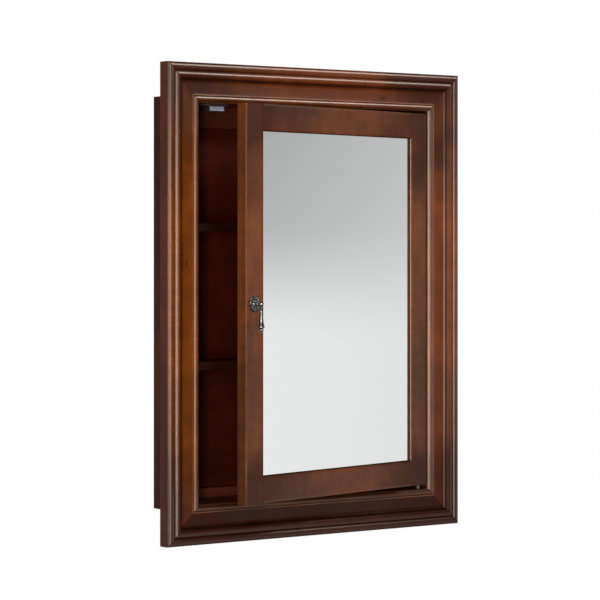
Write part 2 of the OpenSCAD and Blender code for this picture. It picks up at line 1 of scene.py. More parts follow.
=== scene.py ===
"""Looks of a wall cabinet with a mirrored door: lacquered stained wood, mirror and pewter pull.

X runs right, Y runs back into the wall, Z runs up, and the origin is the middle of the back face.
The door stands ajar at rest. Meshes, knots and the studio are in metres. The sizes and outlines
of the sub-assemblies are in millimetres, and MM scales them.
"""
import json
import logging
import math
from abc import ABC, abstractmethod
from dataclasses import dataclass, field
from enum import Enum
from typing import Callable, Dict, List, Optional, Sequence, Tuple, Union

import bmesh
import bpy
from mathutils import Matrix, Vector


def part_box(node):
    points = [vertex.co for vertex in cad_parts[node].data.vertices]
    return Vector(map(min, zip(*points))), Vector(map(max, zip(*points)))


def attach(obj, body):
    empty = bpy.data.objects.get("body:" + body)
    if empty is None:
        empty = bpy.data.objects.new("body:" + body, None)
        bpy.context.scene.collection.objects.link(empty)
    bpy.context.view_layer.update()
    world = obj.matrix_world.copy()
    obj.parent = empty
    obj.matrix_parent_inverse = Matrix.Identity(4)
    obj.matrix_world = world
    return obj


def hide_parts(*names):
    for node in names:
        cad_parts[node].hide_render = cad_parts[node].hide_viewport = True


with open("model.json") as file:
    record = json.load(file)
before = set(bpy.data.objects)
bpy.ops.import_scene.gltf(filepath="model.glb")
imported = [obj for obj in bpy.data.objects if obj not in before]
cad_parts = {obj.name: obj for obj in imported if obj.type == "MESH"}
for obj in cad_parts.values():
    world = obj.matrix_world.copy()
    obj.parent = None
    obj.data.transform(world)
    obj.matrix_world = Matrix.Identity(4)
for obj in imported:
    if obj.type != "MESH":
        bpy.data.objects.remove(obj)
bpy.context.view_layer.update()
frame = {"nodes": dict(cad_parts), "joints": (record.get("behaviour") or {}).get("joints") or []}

LOG = logging.getLogger("cabinet")
MM = 0.001

Colour = Tuple[float, float, float, float]
Place = Tuple[float, float, float]
Socket = bpy.types.NodeSocket
Feed = Union[Socket, float, Sequence[float]]

WHITE: Colour = (1.0, 1.0, 1.0, 1.0)
NO_KNOT: Place = (9.0, 9.0, 9.0)  # far outside every board
FLAT: Place = (1.0, 1.0, 0.0)  # keeps X and Y and drops Z


def stain(code: str) -> Colour:
    """Turns a display colour such as "6b3c24" into the linear colour that shaders take.

    Args:
        code: Six hexadecimal digits, red first.

    Returns:
        The linear colour with full alpha.
    """
    shown = [int(code[i : i + 2], 16) / 255 for i in (0, 2, 4)]
    linear = [c / 12.92 if c <= 0.04045 else ((c + 0.055) / 1.055) ** 2.4 for c in shown]
    return (linear[0], linear[1], linear[2], 1.0)


# ---------------------------------------------------------------- shader wiring


class Wiring:
    """Places nodes in one tree and joins them."""

    def __init__(self, tree: bpy.types.NodeTree) -> None:
        """Keeps the tree that the nodes go to."""
        self.tree = tree

    def feed(self, socket: Socket, value: Feed) -> None:
        """Joins a socket to a source, or sets its own value.

        Args:
            socket: The input to set.
            value: An output socket, a number or a vector.
        """
        if isinstance(value, bpy.types.NodeSocket):
            self.tree.links.new(value, socket)
        else:
            socket.default_value = value

    def fill(self, node: bpy.types.Node, **values: Feed) -> None:
        """Feeds a node's inputs; an underscore stands for a space in an input's name."""
        for name, value in values.items():
            self.feed(node.inputs[name.replace("_", " ")], value)

    def node(self, kind: str, inputs: Optional[Dict[Union[str, int], Feed]] = None,
             **settings: object) -> bpy.types.Node:
        """Adds a node.

        Args:
            kind: The node's type name.
            inputs: What each input gets, by its name or number.
            **settings: Properties of the node itself.

        Returns:
            The new node.
        """
        made = self.tree.nodes.new(kind)
        for name, value in settings.items():
            setattr(made, name, value)
        for key, value in (inputs or {}).items():
            self.feed(made.inputs[key], value)
        return made

    def math(self, operation: str, *values: Feed, clamp: bool = False) -> Socket:
        """Works out one number from others with a Math node.

        Args:
            operation: The node's operation.
            *values: What its inputs get, in order.
            clamp: Whether the result is held between 0 and 1.

        Returns:
            The result.
        """
        made = self.node("ShaderNodeMath", dict(enumerate(values)), operation=operation)
        made.use_clamp = clamp
        return made.outputs[0]

    def times(self, first: Feed, second: Feed, clamp: bool = False) -> Socket:
        """Multiplies two numbers."""
        return self.math("MULTIPLY", first, second, clamp=clamp)

    def plus(self, first: Feed, second: Feed, clamp: bool = False) -> Socket:
        """Adds two numbers."""
        return self.math("ADD", first, second, clamp=clamp)

    def vector(self, operation: str, *values: Feed, output: int = 0) -> Socket:
        """Works out a vector, or a number as output 1, with a Vector Math node.

        Args:
            operation: The node's operation.
            *values: What its inputs get, in order.
            output: 0 for a vector, or 1 for a number.

        Returns:
            The result.
        """
        made = self.node("ShaderNodeVectorMath", operation=operation)
        for key, value in enumerate(values):
            self.feed(made.inputs["Scale" if operation == "SCALE" and key else key], value)
        return made.outputs[output]

    def stretch(self, vector: Feed, by: Place) -> Socket:
        """Multiplies a vector by a number for each axis."""
        return self.vector("MULTIPLY", vector, by)

    def split(self, vector: Feed) -> List[Socket]:
        """Gives a vector's three parts."""
        return list(self.node("ShaderNodeSeparateXYZ", {0: vector}).outputs)

    def noise(self, vector: Feed, scale: Union[float, Place], detail: float = 2.0,
              rough: float = 0.5, output: int = 0) -> Socket:
        """Samples soft noise at cells a metre, one number or one for each axis.

        Args:
            vector: Where it is sampled.
            scale: Cells a metre, as one number or as one for each axis.
            detail: How many finer layers it has.
            rough: How strong they are.
            output: 0 for a number from 0 to 1, or 1 for a colour.

        Returns:
            The sampled value.
        """
        if isinstance(scale, tuple):
            vector, scale = self.stretch(vector, scale), 1.0
        inputs = {"Vector": vector, "Scale": scale, "Detail": detail, "Roughness": rough}
        return self.node("ShaderNodeTexNoise", inputs).outputs[output]

    def remap(self, value: Feed, low: float, high: float, to_low: Feed = 0.0,
              to_high: Feed = 1.0, kind: str = "SMOOTHSTEP") -> Socket:
        """Maps low..high to to_low..to_high, held at both ends."""
        inputs = {"Value": value, 1: low, 2: high, 3: to_low, 4: to_high}
        return self.node("ShaderNodeMapRange", inputs, interpolation_type=kind).outputs[0]

    def mix(self, factor: Feed, first: Feed, second: Feed) -> Socket:
        """Mixes two colours."""
        inputs = {0: factor, 6: first, 7: second}
        return self.node("ShaderNodeMix", inputs, data_type="RGBA").outputs[2]

    def blend(self, factor: Feed, first: Feed, second: Feed) -> Socket:
        """Mixes two numbers."""
        inputs = {0: factor, 2: first, 3: second}
        return self.node("ShaderNodeMix", inputs, data_type="FLOAT").outputs[0]

    def attribute(self, name: str, output: str = "Vector") -> Socket:
        """Reads one of the mesh's own attributes."""
        return self.node("ShaderNodeAttribute", attribute_name=name).outputs[output]

    def place(self, output: str = "Object") -> Socket:
        """Reads the object's own coordinates, or another output of Texture Coordinate."""
        return self.node("ShaderNodeTexCoord").outputs[output]

    def bump(self, height: Feed, distance: float, strength: float) -> Socket:
        """Turns a height into a normal."""
        inputs = {"Height": height, "Distance": distance, "Strength": strength}
        return self.node("ShaderNodeBump", inputs).outputs[0]


def cleared(owner: Union[bpy.types.Material, bpy.types.World]) -> Wiring:
    """Gives the wiring of a new material or world, with its tree emptied.

    Args:
        owner: The new material or world.

    Returns:
        The wiring of its tree.
    """
    owner.use_nodes = True
    owner.node_tree.nodes.clear()
    return Wiring(owner.node_tree)


class Kind(Enum):
    """The kinds of socket that a group takes or gives."""

    VALUE = "NodeSocketFloat"
    VECTOR = "NodeSocketVector"
    COLOUR = "NodeSocketColor"


VALUE, VECTOR, COLOUR = Kind


class Effect(ABC):
    """A shader node group that several finishes share. It is built once."""

    name: str = ""
    takes: Dict[str, Kind] = {}
    gives: Dict[str, Kind] = {}

    @abstractmethod
    def wire(self, w: Wiring, given: Dict[str, Socket]) -> Dict[str, Socket]:
        """Builds the inside of the group.

        Args:
            w: The wiring of the group's own tree.
            given: The group's inputs, by name.

        Returns:
            What each output gets, by name.
        """

    def tree(self) -> bpy.types.NodeTree:
        """Gives the group's tree, and makes it the first time.

        Returns:
            The tree.
        """
        known = bpy.data.node_groups.get(self.name)
        if known:
            return known
        made = bpy.data.node_groups.new(self.name, "ShaderNodeTree")
        for way, sockets in (("INPUT", self.takes), ("OUTPUT", self.gives)):
            for name, kind in sockets.items():
                made.interface.new_socket(name, in_out=way, socket_type=kind.value)
        wiring = Wiring(made)
        source = wiring.node("NodeGroupInput")
        given = {name: source.outputs[name] for name in self.takes}
        wiring.node("NodeGroupOutput", dict(self.wire(wiring, given)))
        return made

    def use(self, wiring: Wiring, **values: Feed) -> Dict[str, Socket]:
        """Places the group in a material, and gives its outputs by name.

        Args:
            wiring: The material's wiring.
            **values: What each input gets; an underscore stands for a space in its name.

        Returns:
            The outputs, by name.
        """
        made = wiring.node("ShaderNodeGroup")
        made.node_tree = self.tree()
        wiring.fill(made, **values)
        return {socket.name: socket for socket in made.outputs}


class WoodFigure(Effect):
    """Colour and relief of a planed board. The vector's Z runs along the grain."""

    name = "Wood Figure"
    takes = {
        "Vector": VECTOR, "Light": COLOUR, "Middle": COLOUR, "Dark": COLOUR, "Rings": VALUE,
        "Blotches": VALUE, "Pores": VALUE, "First Knot": VECTOR, "Second Knot": VECTOR,
        "Knot Radius": VALUE,
    }
    gives = {"Color": COLOUR, "Height": VALUE, "Dullness": VALUE}

    def wire(self, w: Wiring, given: Dict[str, Socket]) -> Dict[str, Socket]:
        """Layers growth rings, streaks, blotches, cross figure, pores and two knots.

        Args:
            w: The wiring of the group's own tree.
            given: The group's inputs, by name.

        Returns:
            What each output gets, by name.
        """
        place, dark = given["Vector"], given["Dark"]
        knot_dark: Feed = 0.0
        knot_pull: Feed = 0.0
        for which in ("First Knot", "Second Knot"):
            away = w.stretch(w.vector("SUBTRACT", place, given[which]), (1.0, 1.0, 0.6))
            radii = w.math("DIVIDE", w.vector("LENGTH", away, output=1), given["Knot Radius"])
            ragged = w.plus(radii, w.noise(place, 260.0))
            knot_dark = w.math("MAXIMUM", knot_dark, w.remap(ragged, 1.5, 0.5))
            knot_pull = w.plus(knot_pull, w.remap(radii, 6.0, 0.0))
        drift = w.vector("SCALE", w.noise(place, (9.0, 9.0, 1.1), output=1), 0.03)
        pull = w.node("ShaderNodeCombineXYZ", {0: w.times(knot_pull, 0.012)}).outputs[0]
        log_place = w.vector("ADD", w.vector("ADD", place, drift), pull)
        flat = w.stretch(w.vector("ADD", log_place, (0.05, 0.09, 0.0)), (1.0, 1.0, 0.03))
        rings = w.node("ShaderNodeTexWave", {"Vector": flat, "Scale": 58.0, "Distortion": 1.4,
                                             "Detail": 2.0, "Detail Scale": 1.5},
                       wave_type="RINGS", rings_direction="Z").outputs["Fac"]
        streaks = w.noise(log_place, (190.0, 190.0, 2.6), 3.0, 0.6)
        fine = w.noise(place, (900.0, 900.0, 16.0))
        patches = w.noise(place, (16.0, 16.0, 5.5), 3.0, 0.55)
        cross = w.noise(place, (22.0, 22.0, 60.0))
        broad = w.noise(place, (6.0, 6.0, 2.2), 1.0)
        colour = w.mix(w.remap(patches, 0.35, 0.66), given["Middle"], given["Light"])
        darker = w.times(w.remap(broad, 0.46, 0.68), given["Blotches"])
        colour = w.mix(darker, colour, dark)
        ring_line = w.times(w.remap(rings, 0.55, 1.0), given["Rings"])
        colour = w.mix(w.times(ring_line, 0.4), colour, dark)
        shade = w.times(w.remap(streaks, 0.3, 0.7, 0.96, 1.03),
                        w.remap(cross, 0.3, 0.7, 0.86, 1.12))
        shade = w.times(shade, w.remap(fine, 0.25, 0.75, 0.96, 1.03))
        colour = w.vector("SCALE", colour, shade)
        pores = w.noise(place, (1500.0, 1500.0, 55.0), 1.0)
        pore = w.times(w.remap(pores, 0.64, 0.74), given["Pores"])
        marks = w.math("MAXIMUM", w.times(pore, 0.55), w.times(knot_dark, 0.75))
        colour = w.mix(marks, colour, w.vector("SCALE", dark, 0.35))
        height = w.math("SUBTRACT", w.times(streaks, 0.35), pore)
        height = w.plus(height, w.times(broad, 1.6))
        return {"Color": colour, "Height": height, "Dullness": w.remap(patches, 0.3, 0.7)}


class GlazeRubAndPaintedLight(Effect):
    """Dark glazing that stays in grooves, and stain rubbed thin along arrises; both also carry
    painted shade and painted highlights.

    Its wear input is -1 at the bottom of a groove, 0 on a flat and 1 on an arris. Below 0 it
    darkens the colour with glazing and with painted shade in grooves, feet and recesses; above 0
    it lightens it with rubbing and with painted highlights on arrises.
    """

    name = "Settled Glaze"
    takes = {"Color": COLOUR, "Wear": VALUE, "Vector": VECTOR, "Glaze": COLOUR,
             "Rubbed": COLOUR, "Depth": VALUE, "Rubbing": VALUE}
    gives = {"Color": COLOUR, "Polish": VALUE}

    def wire(self, w: Wiring, given: Dict[str, Socket]) -> Dict[str, Socket]:
        """Darkens and dulls where the wear input is below 0, with glazing and painted shade, and
        lightens and shines where it is above, with rubbing and painted highlights.

        Args:
            w: The wiring of the group's own tree.
            given: The group's inputs, by name.

        Returns:
            What each output gets, by name.
        """
        uneven = w.noise(given["Vector"], (60.0, 60.0, 14.0), 3.0)
        # Glazing, and painted shade, where the wear input is below 0.
        glaze_shade_mask = w.remap(w.times(given["Wear"], -1.0), 0.0, 1.0)
        glaze_shade_mask = w.times(glaze_shade_mask, given["Depth"])
        glaze_shade_mask = w.times(glaze_shade_mask, w.remap(uneven, 0.2, 0.7, 0.75, 1.0), clamp=True)
        # Rubbing, and painted highlights, where the wear input is above 0.
        edge = w.times(w.remap(given["Wear"], 0.0, 1.0), given["Rubbing"])
        edge = w.times(edge, w.remap(uneven, 0.3, 0.65, 0.35, 1.0), clamp=True)
        colour = w.mix(edge, w.mix(glaze_shade_mask, given["Color"], given["Glaze"]), given["Rubbed"])
        return {"Color": colour, "Polish": w.remap(given["Wear"], -0.35, 0.35, 0.06, 1.0)}


class CornerToneAndShade(Effect):
    """Darker sprayed tone towards the corners of a frame or a door, partly real and partly painted
    shade where the light falls off towards them.
    """

    name = "Corner Tone and Painted Shade"
    takes = {"Color": COLOUR, "Vector": VECTOR, "Half Width": VALUE, "Half Height": VALUE,
             "Reach": VALUE, "Toner": COLOUR, "Amount": VALUE}
    gives = {"Color": COLOUR, "Mask": VALUE}

    def wire(self, w: Wiring, given: Dict[str, Socket]) -> Dict[str, Socket]:
        """Measures the way to the nearest corner, with a soft uneven edge, and darkens towards it
        with sprayed tone and painted shade.

        Args:
            w: The wiring of the group's own tree.
            given: The group's inputs, by name.

        Returns:
            What each output gets, by name.
        """
        right, _, up = w.split(given["Vector"])
        aside = w.math("SUBTRACT", given["Half Width"], w.math("ABSOLUTE", right))
        above = w.math("SUBTRACT", given["Half Height"], w.math("ABSOLUTE", up))
        away = w.math("SQRT", w.plus(w.times(aside, aside), w.times(above, above)))
        soft = w.noise(given["Vector"], 9.0)
        share = w.math("DIVIDE", away, given["Reach"])
        share = w.plus(share, w.remap(soft, 0.3, 0.7, -0.22, 0.22))
        mask = w.times(w.remap(share, 1.0, 0.12), given["Amount"])
        return {"Color": w.mix(mask, given["Color"], given["Toner"]), "Mask": mask}


class Handling(Effect):
    """Fine scratches and smudges on worked metal, glass or plastic."""

    name = "Handling"
    takes = {"Vector": VECTOR, "Roughness": VALUE, "Spread": VALUE, "Scratches": VALUE}
    gives = {"Roughness": VALUE, "Height": VALUE, "Mask": VALUE}

    def wire(self, w: Wiring, given: Dict[str, Socket]) -> Dict[str, Socket]:
        """Varies the roughness slowly, and adds thin lines in two directions.

        Args:
            w: The wiring of the group's own tree.
            given: The group's inputs, by name.

        Returns:
            What each output gets, by name.
        """
        smudge = w.noise(given["Vector"], 55.0, 4.0, 0.6)
        first = w.noise(given["Vector"], (2400.0, 900.0, 90.0), 1.0)
        second = w.noise(given["Vector"], (90.0, 900.0, 2400.0), 1.0)
        lines = w.math("MAXIMUM", w.remap(first, 0.66, 0.74), w.remap(second, 0.67, 0.75))
        lines = w.times(lines, given["Scratches"])
        rough = w.times(w.remap(smudge, 0.3, 0.7, -1.0, 1.0), given["Spread"])
        rough = w.plus(given["Roughness"], rough)
        rough = w.plus(rough, w.times(lines, 0.12), clamp=True)
        return {"Roughness": rough, "Height": w.times(lines, -1.0), "Mask": smudge}


# ---------------------------------------------------------------- finishes


@dataclass(frozen=True)
class Finish(ABC):
    """A finish. Its material is made the first time that a piece takes it."""

    name: str

    @abstractmethod
    def dress(self, w: Wiring, shader: bpy.types.Node) -> None:
        """Sets the surface shader's inputs.

        Args:
            w: The material's wiring.
            shader: Its surface shader.
        """

    def material(self) -> bpy.types.Material:
        """Gives the material, and makes it the first time.

        Returns:
            The material.
        """
        known = bpy.data.materials.get(self.name)
        if known:
            return known
        made = bpy.data.materials.new(self.name)
        wiring = cleared(made)
        shader = wiring.node("ShaderNodeBsdfPrincipled")
        self.dress(wiring, shader)
        wiring.node("ShaderNodeOutputMaterial", {"Surface": shader.outputs[0]})
        return made


@dataclass(frozen=True)
class Panel:
    """The frame or door whose corners are darkened with sprayed tone and painted shade, by its
    half sizes in metres.
    """

    half_w: float
    half_h: float
    reach: float
    amount: float


@dataclass(frozen=True)
class Wood(Finish):
    """What every wood has: three colours, growth rings, blotches, pores and up to two knots."""

    light: str
    middle: str
    dark: str
    rings: float = 0.25
    blotches: float = 0.9
    pores: float = 0.5
    knots: Tuple[Place, Place] = (NO_KNOT, NO_KNOT)
    knot_r: float = 0.006

    def figure(self, w: Wiring, place: Socket) -> Dict[str, Socket]:
        """Places the wood's figure, read at a place whose Z runs along the grain.

        Args:
            w: The material's wiring.
            place: Where the figure is read; its Z runs along the grain.

        Returns:
            The figure's colour, height and dullness.
        """
        return WoodFigure().use(
            w, Vector=place, Light=stain(self.light), Middle=stain(self.middle),
            Dark=stain(self.dark), Rings=self.rings, Blotches=self.blotches, Pores=self.pores,
            First_Knot=self.knots[0], Second_Knot=self.knots[1], Knot_Radius=self.knot_r)


@dataclass(frozen=True)
class LacqueredWood(Wood):
    """Stained hardwood under satin lacquer, on pieces that carry grain and wear."""

    # Colours of glazing and painted shade in grooves, and of rubbing and painted highlights on
    # arrises.
    glaze_and_shade: str = "140805"
    rubbed_and_highlight: str = "9c6338"
    # Colour of the corners' sprayed tone, which also stands for painted shade.
    toner_and_shade: str = "2e140b"
    panel: Optional[Panel] = None
    lacquer: float = 0.35

    def dress(self, w: Wiring, shader: bpy.types.Node) -> None:
        """Figure first, then sprayed tone and painted shade in the corners, then glazing, rubbing,
        painted shade and painted highlights along grooves and arrises.

        Args:
            w: The material's wiring.
            shader: Its surface shader.
        """
        grain = w.attribute("grain")
        figure = self.figure(w, grain)
        colour = figure["Color"]
        wear_and_painted_light = w.attribute("wear_and_painted_light", "Fac")
        bare: Feed = 1.0
        if self.panel:
            shade_and_tone = CornerToneAndShade().use(
                w, Color=colour, Vector=w.attribute("panel"), Half_Width=self.panel.half_w,
                Half_Height=self.panel.half_h, Reach=self.panel.reach,
                Toner=stain(self.toner_and_shade), Amount=self.panel.amount)
            colour = shade_and_tone["Color"]
            matt = w.times(shade_and_tone["Mask"], w.remap(wear_and_painted_light, 0.1, 0.0))
            bare = w.remap(matt, 0.0, 1.0, 1.0, 0.4, "LINEAR")
        settled_shade = GlazeRubAndPaintedLight().use(
            w, Color=colour, Wear=wear_and_painted_light, Vector=grain, Glaze=stain(self.glaze_and_shade),
            Rubbed=stain(self.rubbed_and_highlight), Depth=0.85, Rubbing=0.45)
        w.fill(shader, Base_Color=settled_shade["Color"],
               Roughness=w.remap(figure["Dullness"], 0.0, 1.0, 0.38, 0.48),
               Normal=w.bump(figure["Height"], 0.00008, 0.03),
               Coat_Weight=w.times(settled_shade["Polish"], w.times(bare, self.lacquer)),
               Specular_IOR_Level=0.05, Coat_Roughness=0.31, Coat_IOR=1.8)


class GrainAxis(Enum):
    """The way that a board's grain runs, as the turn that brings it to Z."""

    ACROSS = (0.0, math.pi / 2, 0.0)
    UPRIGHT = (0.0, 0.0, 0.0)


@dataclass(frozen=True)
class BoxWood(Wood):
    """Stained panel wood of the box and shelves, read in the object's own coordinates."""

    rings: float = 0.5
    blotches: float = 0.5
    pores: float = 0.6
    axis: GrainAxis = GrainAxis.UPRIGHT
    roughness: float = 0.42
    lacquer: float = 0.15

    def dress(self, w: Wiring, shader: bpy.types.Node) -> None:
        """Lays the figure along the board's own axis, under a thin lacquer.

        Args:
            w: The material's wiring.
            shader: Its surface shader.
        """
        turned = w.node("ShaderNodeMapping", {"Vector": w.place(), "Rotation": self.axis.value})
        figure = self.figure(w, turned.outputs[0])
        rough = w.remap(figure["Dullness"], 0.0, 1.0, self.roughness, self.roughness + 0.12)
        w.fill(shader, Base_Color=figure["Color"], Roughness=rough,
               Normal=w.bump(figure["Height"], 0.0003, 0.5), Specular_IOR_Level=0.08,
               Coat_Weight=self.lacquer, Coat_Roughness=0.25)


@dataclass(frozen=True)
class RawWood(Wood):
    """Unfinished wood of dowels and splines, with open pores."""

    rings: float = 0.4
    blotches: float = 0.3
    pores: float = 0.9

    def dress(self, w: Wiring, shader: bpy.types.Node) -> None:
        """Lays the figure with no stain and no lacquer.

        Args:
            w: The material's wiring.
            shader: Its surface shader.
        """
        figure = self.figure(w, w.place())
        w.fill(shader, Base_Color=figure["Color"],
               Roughness=w.remap(figure["Dullness"], 0.0, 1.0, 0.6, 0.75),
               Normal=w.bump(figure["Height"], 0.0003, 0.6))


@dataclass(frozen=True)
class Hardboard(Finish):
    """Pressed fibre board behind the mirror."""

    def dress(self, w: Wiring, shader: bpy.types.Node) -> None:
        """Short tangled fibres over a soft brown mottle.

        Args:
            w: The material's wiring.
            shader: Its surface shader.
        """
        place = w.place()
        fibres = w.noise(place, (900.0, 300.0, 260.0), 5.0, 0.7)
        mottle = w.noise(place, 40.0, 3.0)
        colour = w.mix(w.remap(mottle, 0.3, 0.7), stain("8a6238"), stain("a0764a"))
        colour = w.mix(w.remap(fibres, 0.45, 0.7), colour, stain("5f4023"))
        w.fill(shader, Base_Color=colour, Roughness=w.remap(mottle, 0.3, 0.7, 0.55, 0.75),
               Normal=w.bump(fibres, 0.0003, 0.5))


@dataclass(frozen=True)
class Metal(Finish):
    """Plated or worked metal. Hollows hold a dark patina where the mesh's wear is below 0."""

    bright: str
    dull: str
    roughness: float
    spread: float = 0.06
    scratches: float = 0.6
    patina: Optional[str] = None
    hammer: float = 0.0

    def dress(self, w: Wiring, shader: bpy.types.Node) -> None:
        """Mottled plating, handling marks, and a patina in the hollows if the metal has one.

        Args:
            w: The material's wiring.
            shader: Its surface shader.
        """
        place = w.place()
        marks = Handling().use(w, Vector=place, Roughness=self.roughness, Spread=self.spread,
                               Scratches=self.scratches)
        mottle = w.noise(place, 420.0, 4.0, 0.6)
        colour = w.mix(w.remap(mottle, 0.35, 0.65), stain(self.dull), stain(self.bright))
        height = w.plus(marks["Height"], w.times(mottle, self.hammer))
        if self.patina:
            colour = GlazeRubAndPaintedLight().use(
                w, Color=colour, Wear=w.attribute("wear_and_painted_light", "Fac"), Vector=place,
                Glaze=stain(self.patina), Rubbed=stain("d2cec4"), Depth=1.0,
                Rubbing=0.9)["Color"]
        w.fill(shader, Base_Color=colour, Roughness=marks["Roughness"],
               Normal=w.bump(height, 0.00005, 0.6), Metallic=1.0)


@dataclass(frozen=True)
class Silvering(Finish):
    """The silvered face of a mirror, with the faintest of smears."""

    def dress(self, w: Wiring, shader: bpy.types.Node) -> None:
        """A bright metal face whose roughness hardly varies.

        Args:
            w: The material's wiring.
            shader: Its surface shader.
        """
        marks = Handling().use(w, Vector=w.place(), Roughness=0.012, Spread=0.008,
                               Scratches=0.0)
        tint = w.mix(marks["Mask"], (0.90, 0.905, 0.91, 1.0), (0.915, 0.918, 0.92, 1.0))
        w.fill(shader, Base_Color=tint, Roughness=marks["Roughness"], Metallic=1.0)


@dataclass(frozen=True)
class GlassEdge(Finish):
    """The ground, greenish edge of plate glass."""

    def dress(self, w: Wiring, shader: bpy.types.Node) -> None:
        """Dull green with a ground grain.

        Args:
            w: The material's wiring.
            shader: Its surface shader.
        """
        grain = w.noise(w.place(), 2600.0)
        w.fill(shader, Base_Color=w.mix(grain, stain("3e5a50"), stain("7d978c")),
               Roughness=w.remap(grain, 0.3, 0.7, 0.3, 0.5),
               Normal=w.bump(grain, 0.0001, 0.5))


@dataclass(frozen=True)
class Moulded(Finish):
    """Moulded plastic or sprayed paint with a fine texture."""

    base: str
    shade: str
    roughness: float = 0.42

    def dress(self, w: Wiring, shader: bpy.types.Node) -> None:
        """A slightly uneven colour, a fine spark-eroded texture and handling marks.

        Args:
            w: The material's wiring.
            shader: Its surface shader.
        """
        place = w.place()
        marks = Handling().use(w, Vector=place, Roughness=self.roughness, Spread=0.05,
                               Scratches=0.4)
        grit = w.noise(place, 1800.0, 3.0, 0.6)
        colour = w.mix(w.remap(marks["Mask"], 0.3, 0.7), stain(self.base), stain(self.shade))
        w.fill(shader, Base_Color=colour, Roughness=marks["Roughness"],
               Normal=w.bump(grit, 0.00006, 0.7))


ZINC = Metal("zinc_plate", "c4c6c6", "9a9ea0", 0.3)
# The brass is made nearly black so that the hinges and screws sink into the shade of their gaps:
# painted shade.
BRASS = Metal("brass_darkened_as_shade", "211910", "16110a", 0.6)
PEWTER = Metal("antique_pewter", "80817f", "3a3c3e", 0.2, spread=0.05, scratches=0.3,
               patina="0a0b0c", hammer=0.2)
FERRITE = Moulded("ferrite_magnet", "949bb6", "8289a6")
SIDE_WOOD = LacqueredWood("frame_side_wood", "5c2a12", "4c200c", "341407", lacquer=0.7)


class Body(Enum):
    """The CAD bodies that pieces ride on."""

    CABINET = "cabinet"
    DOOR = "door"
    DROP = "drop"


class Slot(Enum):
    """The record's material slots that new pieces take."""

    STAINED_WOOD = "stained_wood"
    BOX_WOOD = "box_wood"
    MIRROR = "mirror"
    ZINC = "zinc_steel"
    BRASS = "brass_plate"
    PEWTER = "pewter"
    PLASTIC = "catch_plastic"


# ---------------------------------------------------------------- meshes

Station = Tuple[float, float, float]  # across, height, and a value for rubbing, glazing and painted light; millimetres but for that value
Outline = List[Station]
Wear = Callable[[float], float]  # rubbing, glazing and painted light from the share of an arc that is done


def ramp(value: float, low: float, high: float) -> float:
    """Rises from 0 at low to 1 at high, and is held beyond them."""
    return min(1.0, max(0.0, (value - low) / (high - low)))


def swell(peak: float, base: float = 0.0) -> Wear:
    """Gives a wear that is highest in the middle of an arc."""
    return lambda share: base + peak * math.sin(math.pi * share)


def arc(middle: Tuple[float, float], radius: float, start: float, end: float, steps: int,
        wear_and_painted_light: Wear) -> Outline:
    """Follows a circle.

    Args:
        middle: The circle's centre, in millimetres.
        radius: Its radius, in millimetres.
        start: The first angle, in degrees.
        end: The last angle, in degrees.
        steps: How many spans the arc is cut into.
        wear_and_painted_light: Gives the wear along it.

    Returns:
        The stations from start to end, both included.
    """
    made = []
    for share in (step / steps for step in range(steps + 1)):
        angle = math.radians(start + (end - start) * share)
        made.append((middle[0] + radius * math.cos(angle), middle[1] + radius * math.sin(angle),
                     wear_and_painted_light(share)))
    return made


def bend(start: Station, corner: Tuple[float, float], end: Station, steps: int) -> Outline:
    """Rounds a corner with a parabola that starts and ends along its two sides.

    Args:
        start: Where the rounding starts.
        corner: The sharp corner that it takes off, in millimetres.
        end: Where it ends.
        steps: How many spans it is cut into.

    Returns:
        The stations, both ends included.
    """
    made = []
    for t in (step / steps for step in range(steps + 1)):
        across, height = (
            (1 - t) ** 2 * start[k] + 2 * t * (1 - t) * corner[k] + t * t * end[k] for k in (0, 1))
        made.append((across, height, (1 - t) * start[2] + t * end[2]))
    return made


def turns(sides: int) -> List[float]:
    """Gives evenly spaced angles of one turn, in radians."""
    return [2 * math.pi * side / sides for side in range(sides)]


def polar(radius: float, turn: float, height: float = 0.0) -> Vector:
    """Gives the point at a radius, an angle about Z and a height."""
    return Vector((radius * math.cos(turn), radius * math.sin(turn), height))


def link(name: str, data: bpy.types.ID) -> bpy.types.Object:
    """Puts a new object with this data into the scene.

    Args:
        name: Its name.
        data: Its mesh, light or camera.

    Returns:
        The new object.
    """
    made = bpy.data.objects.new(name, data)
    bpy.context.scene.collection.objects.link(made)
    return made


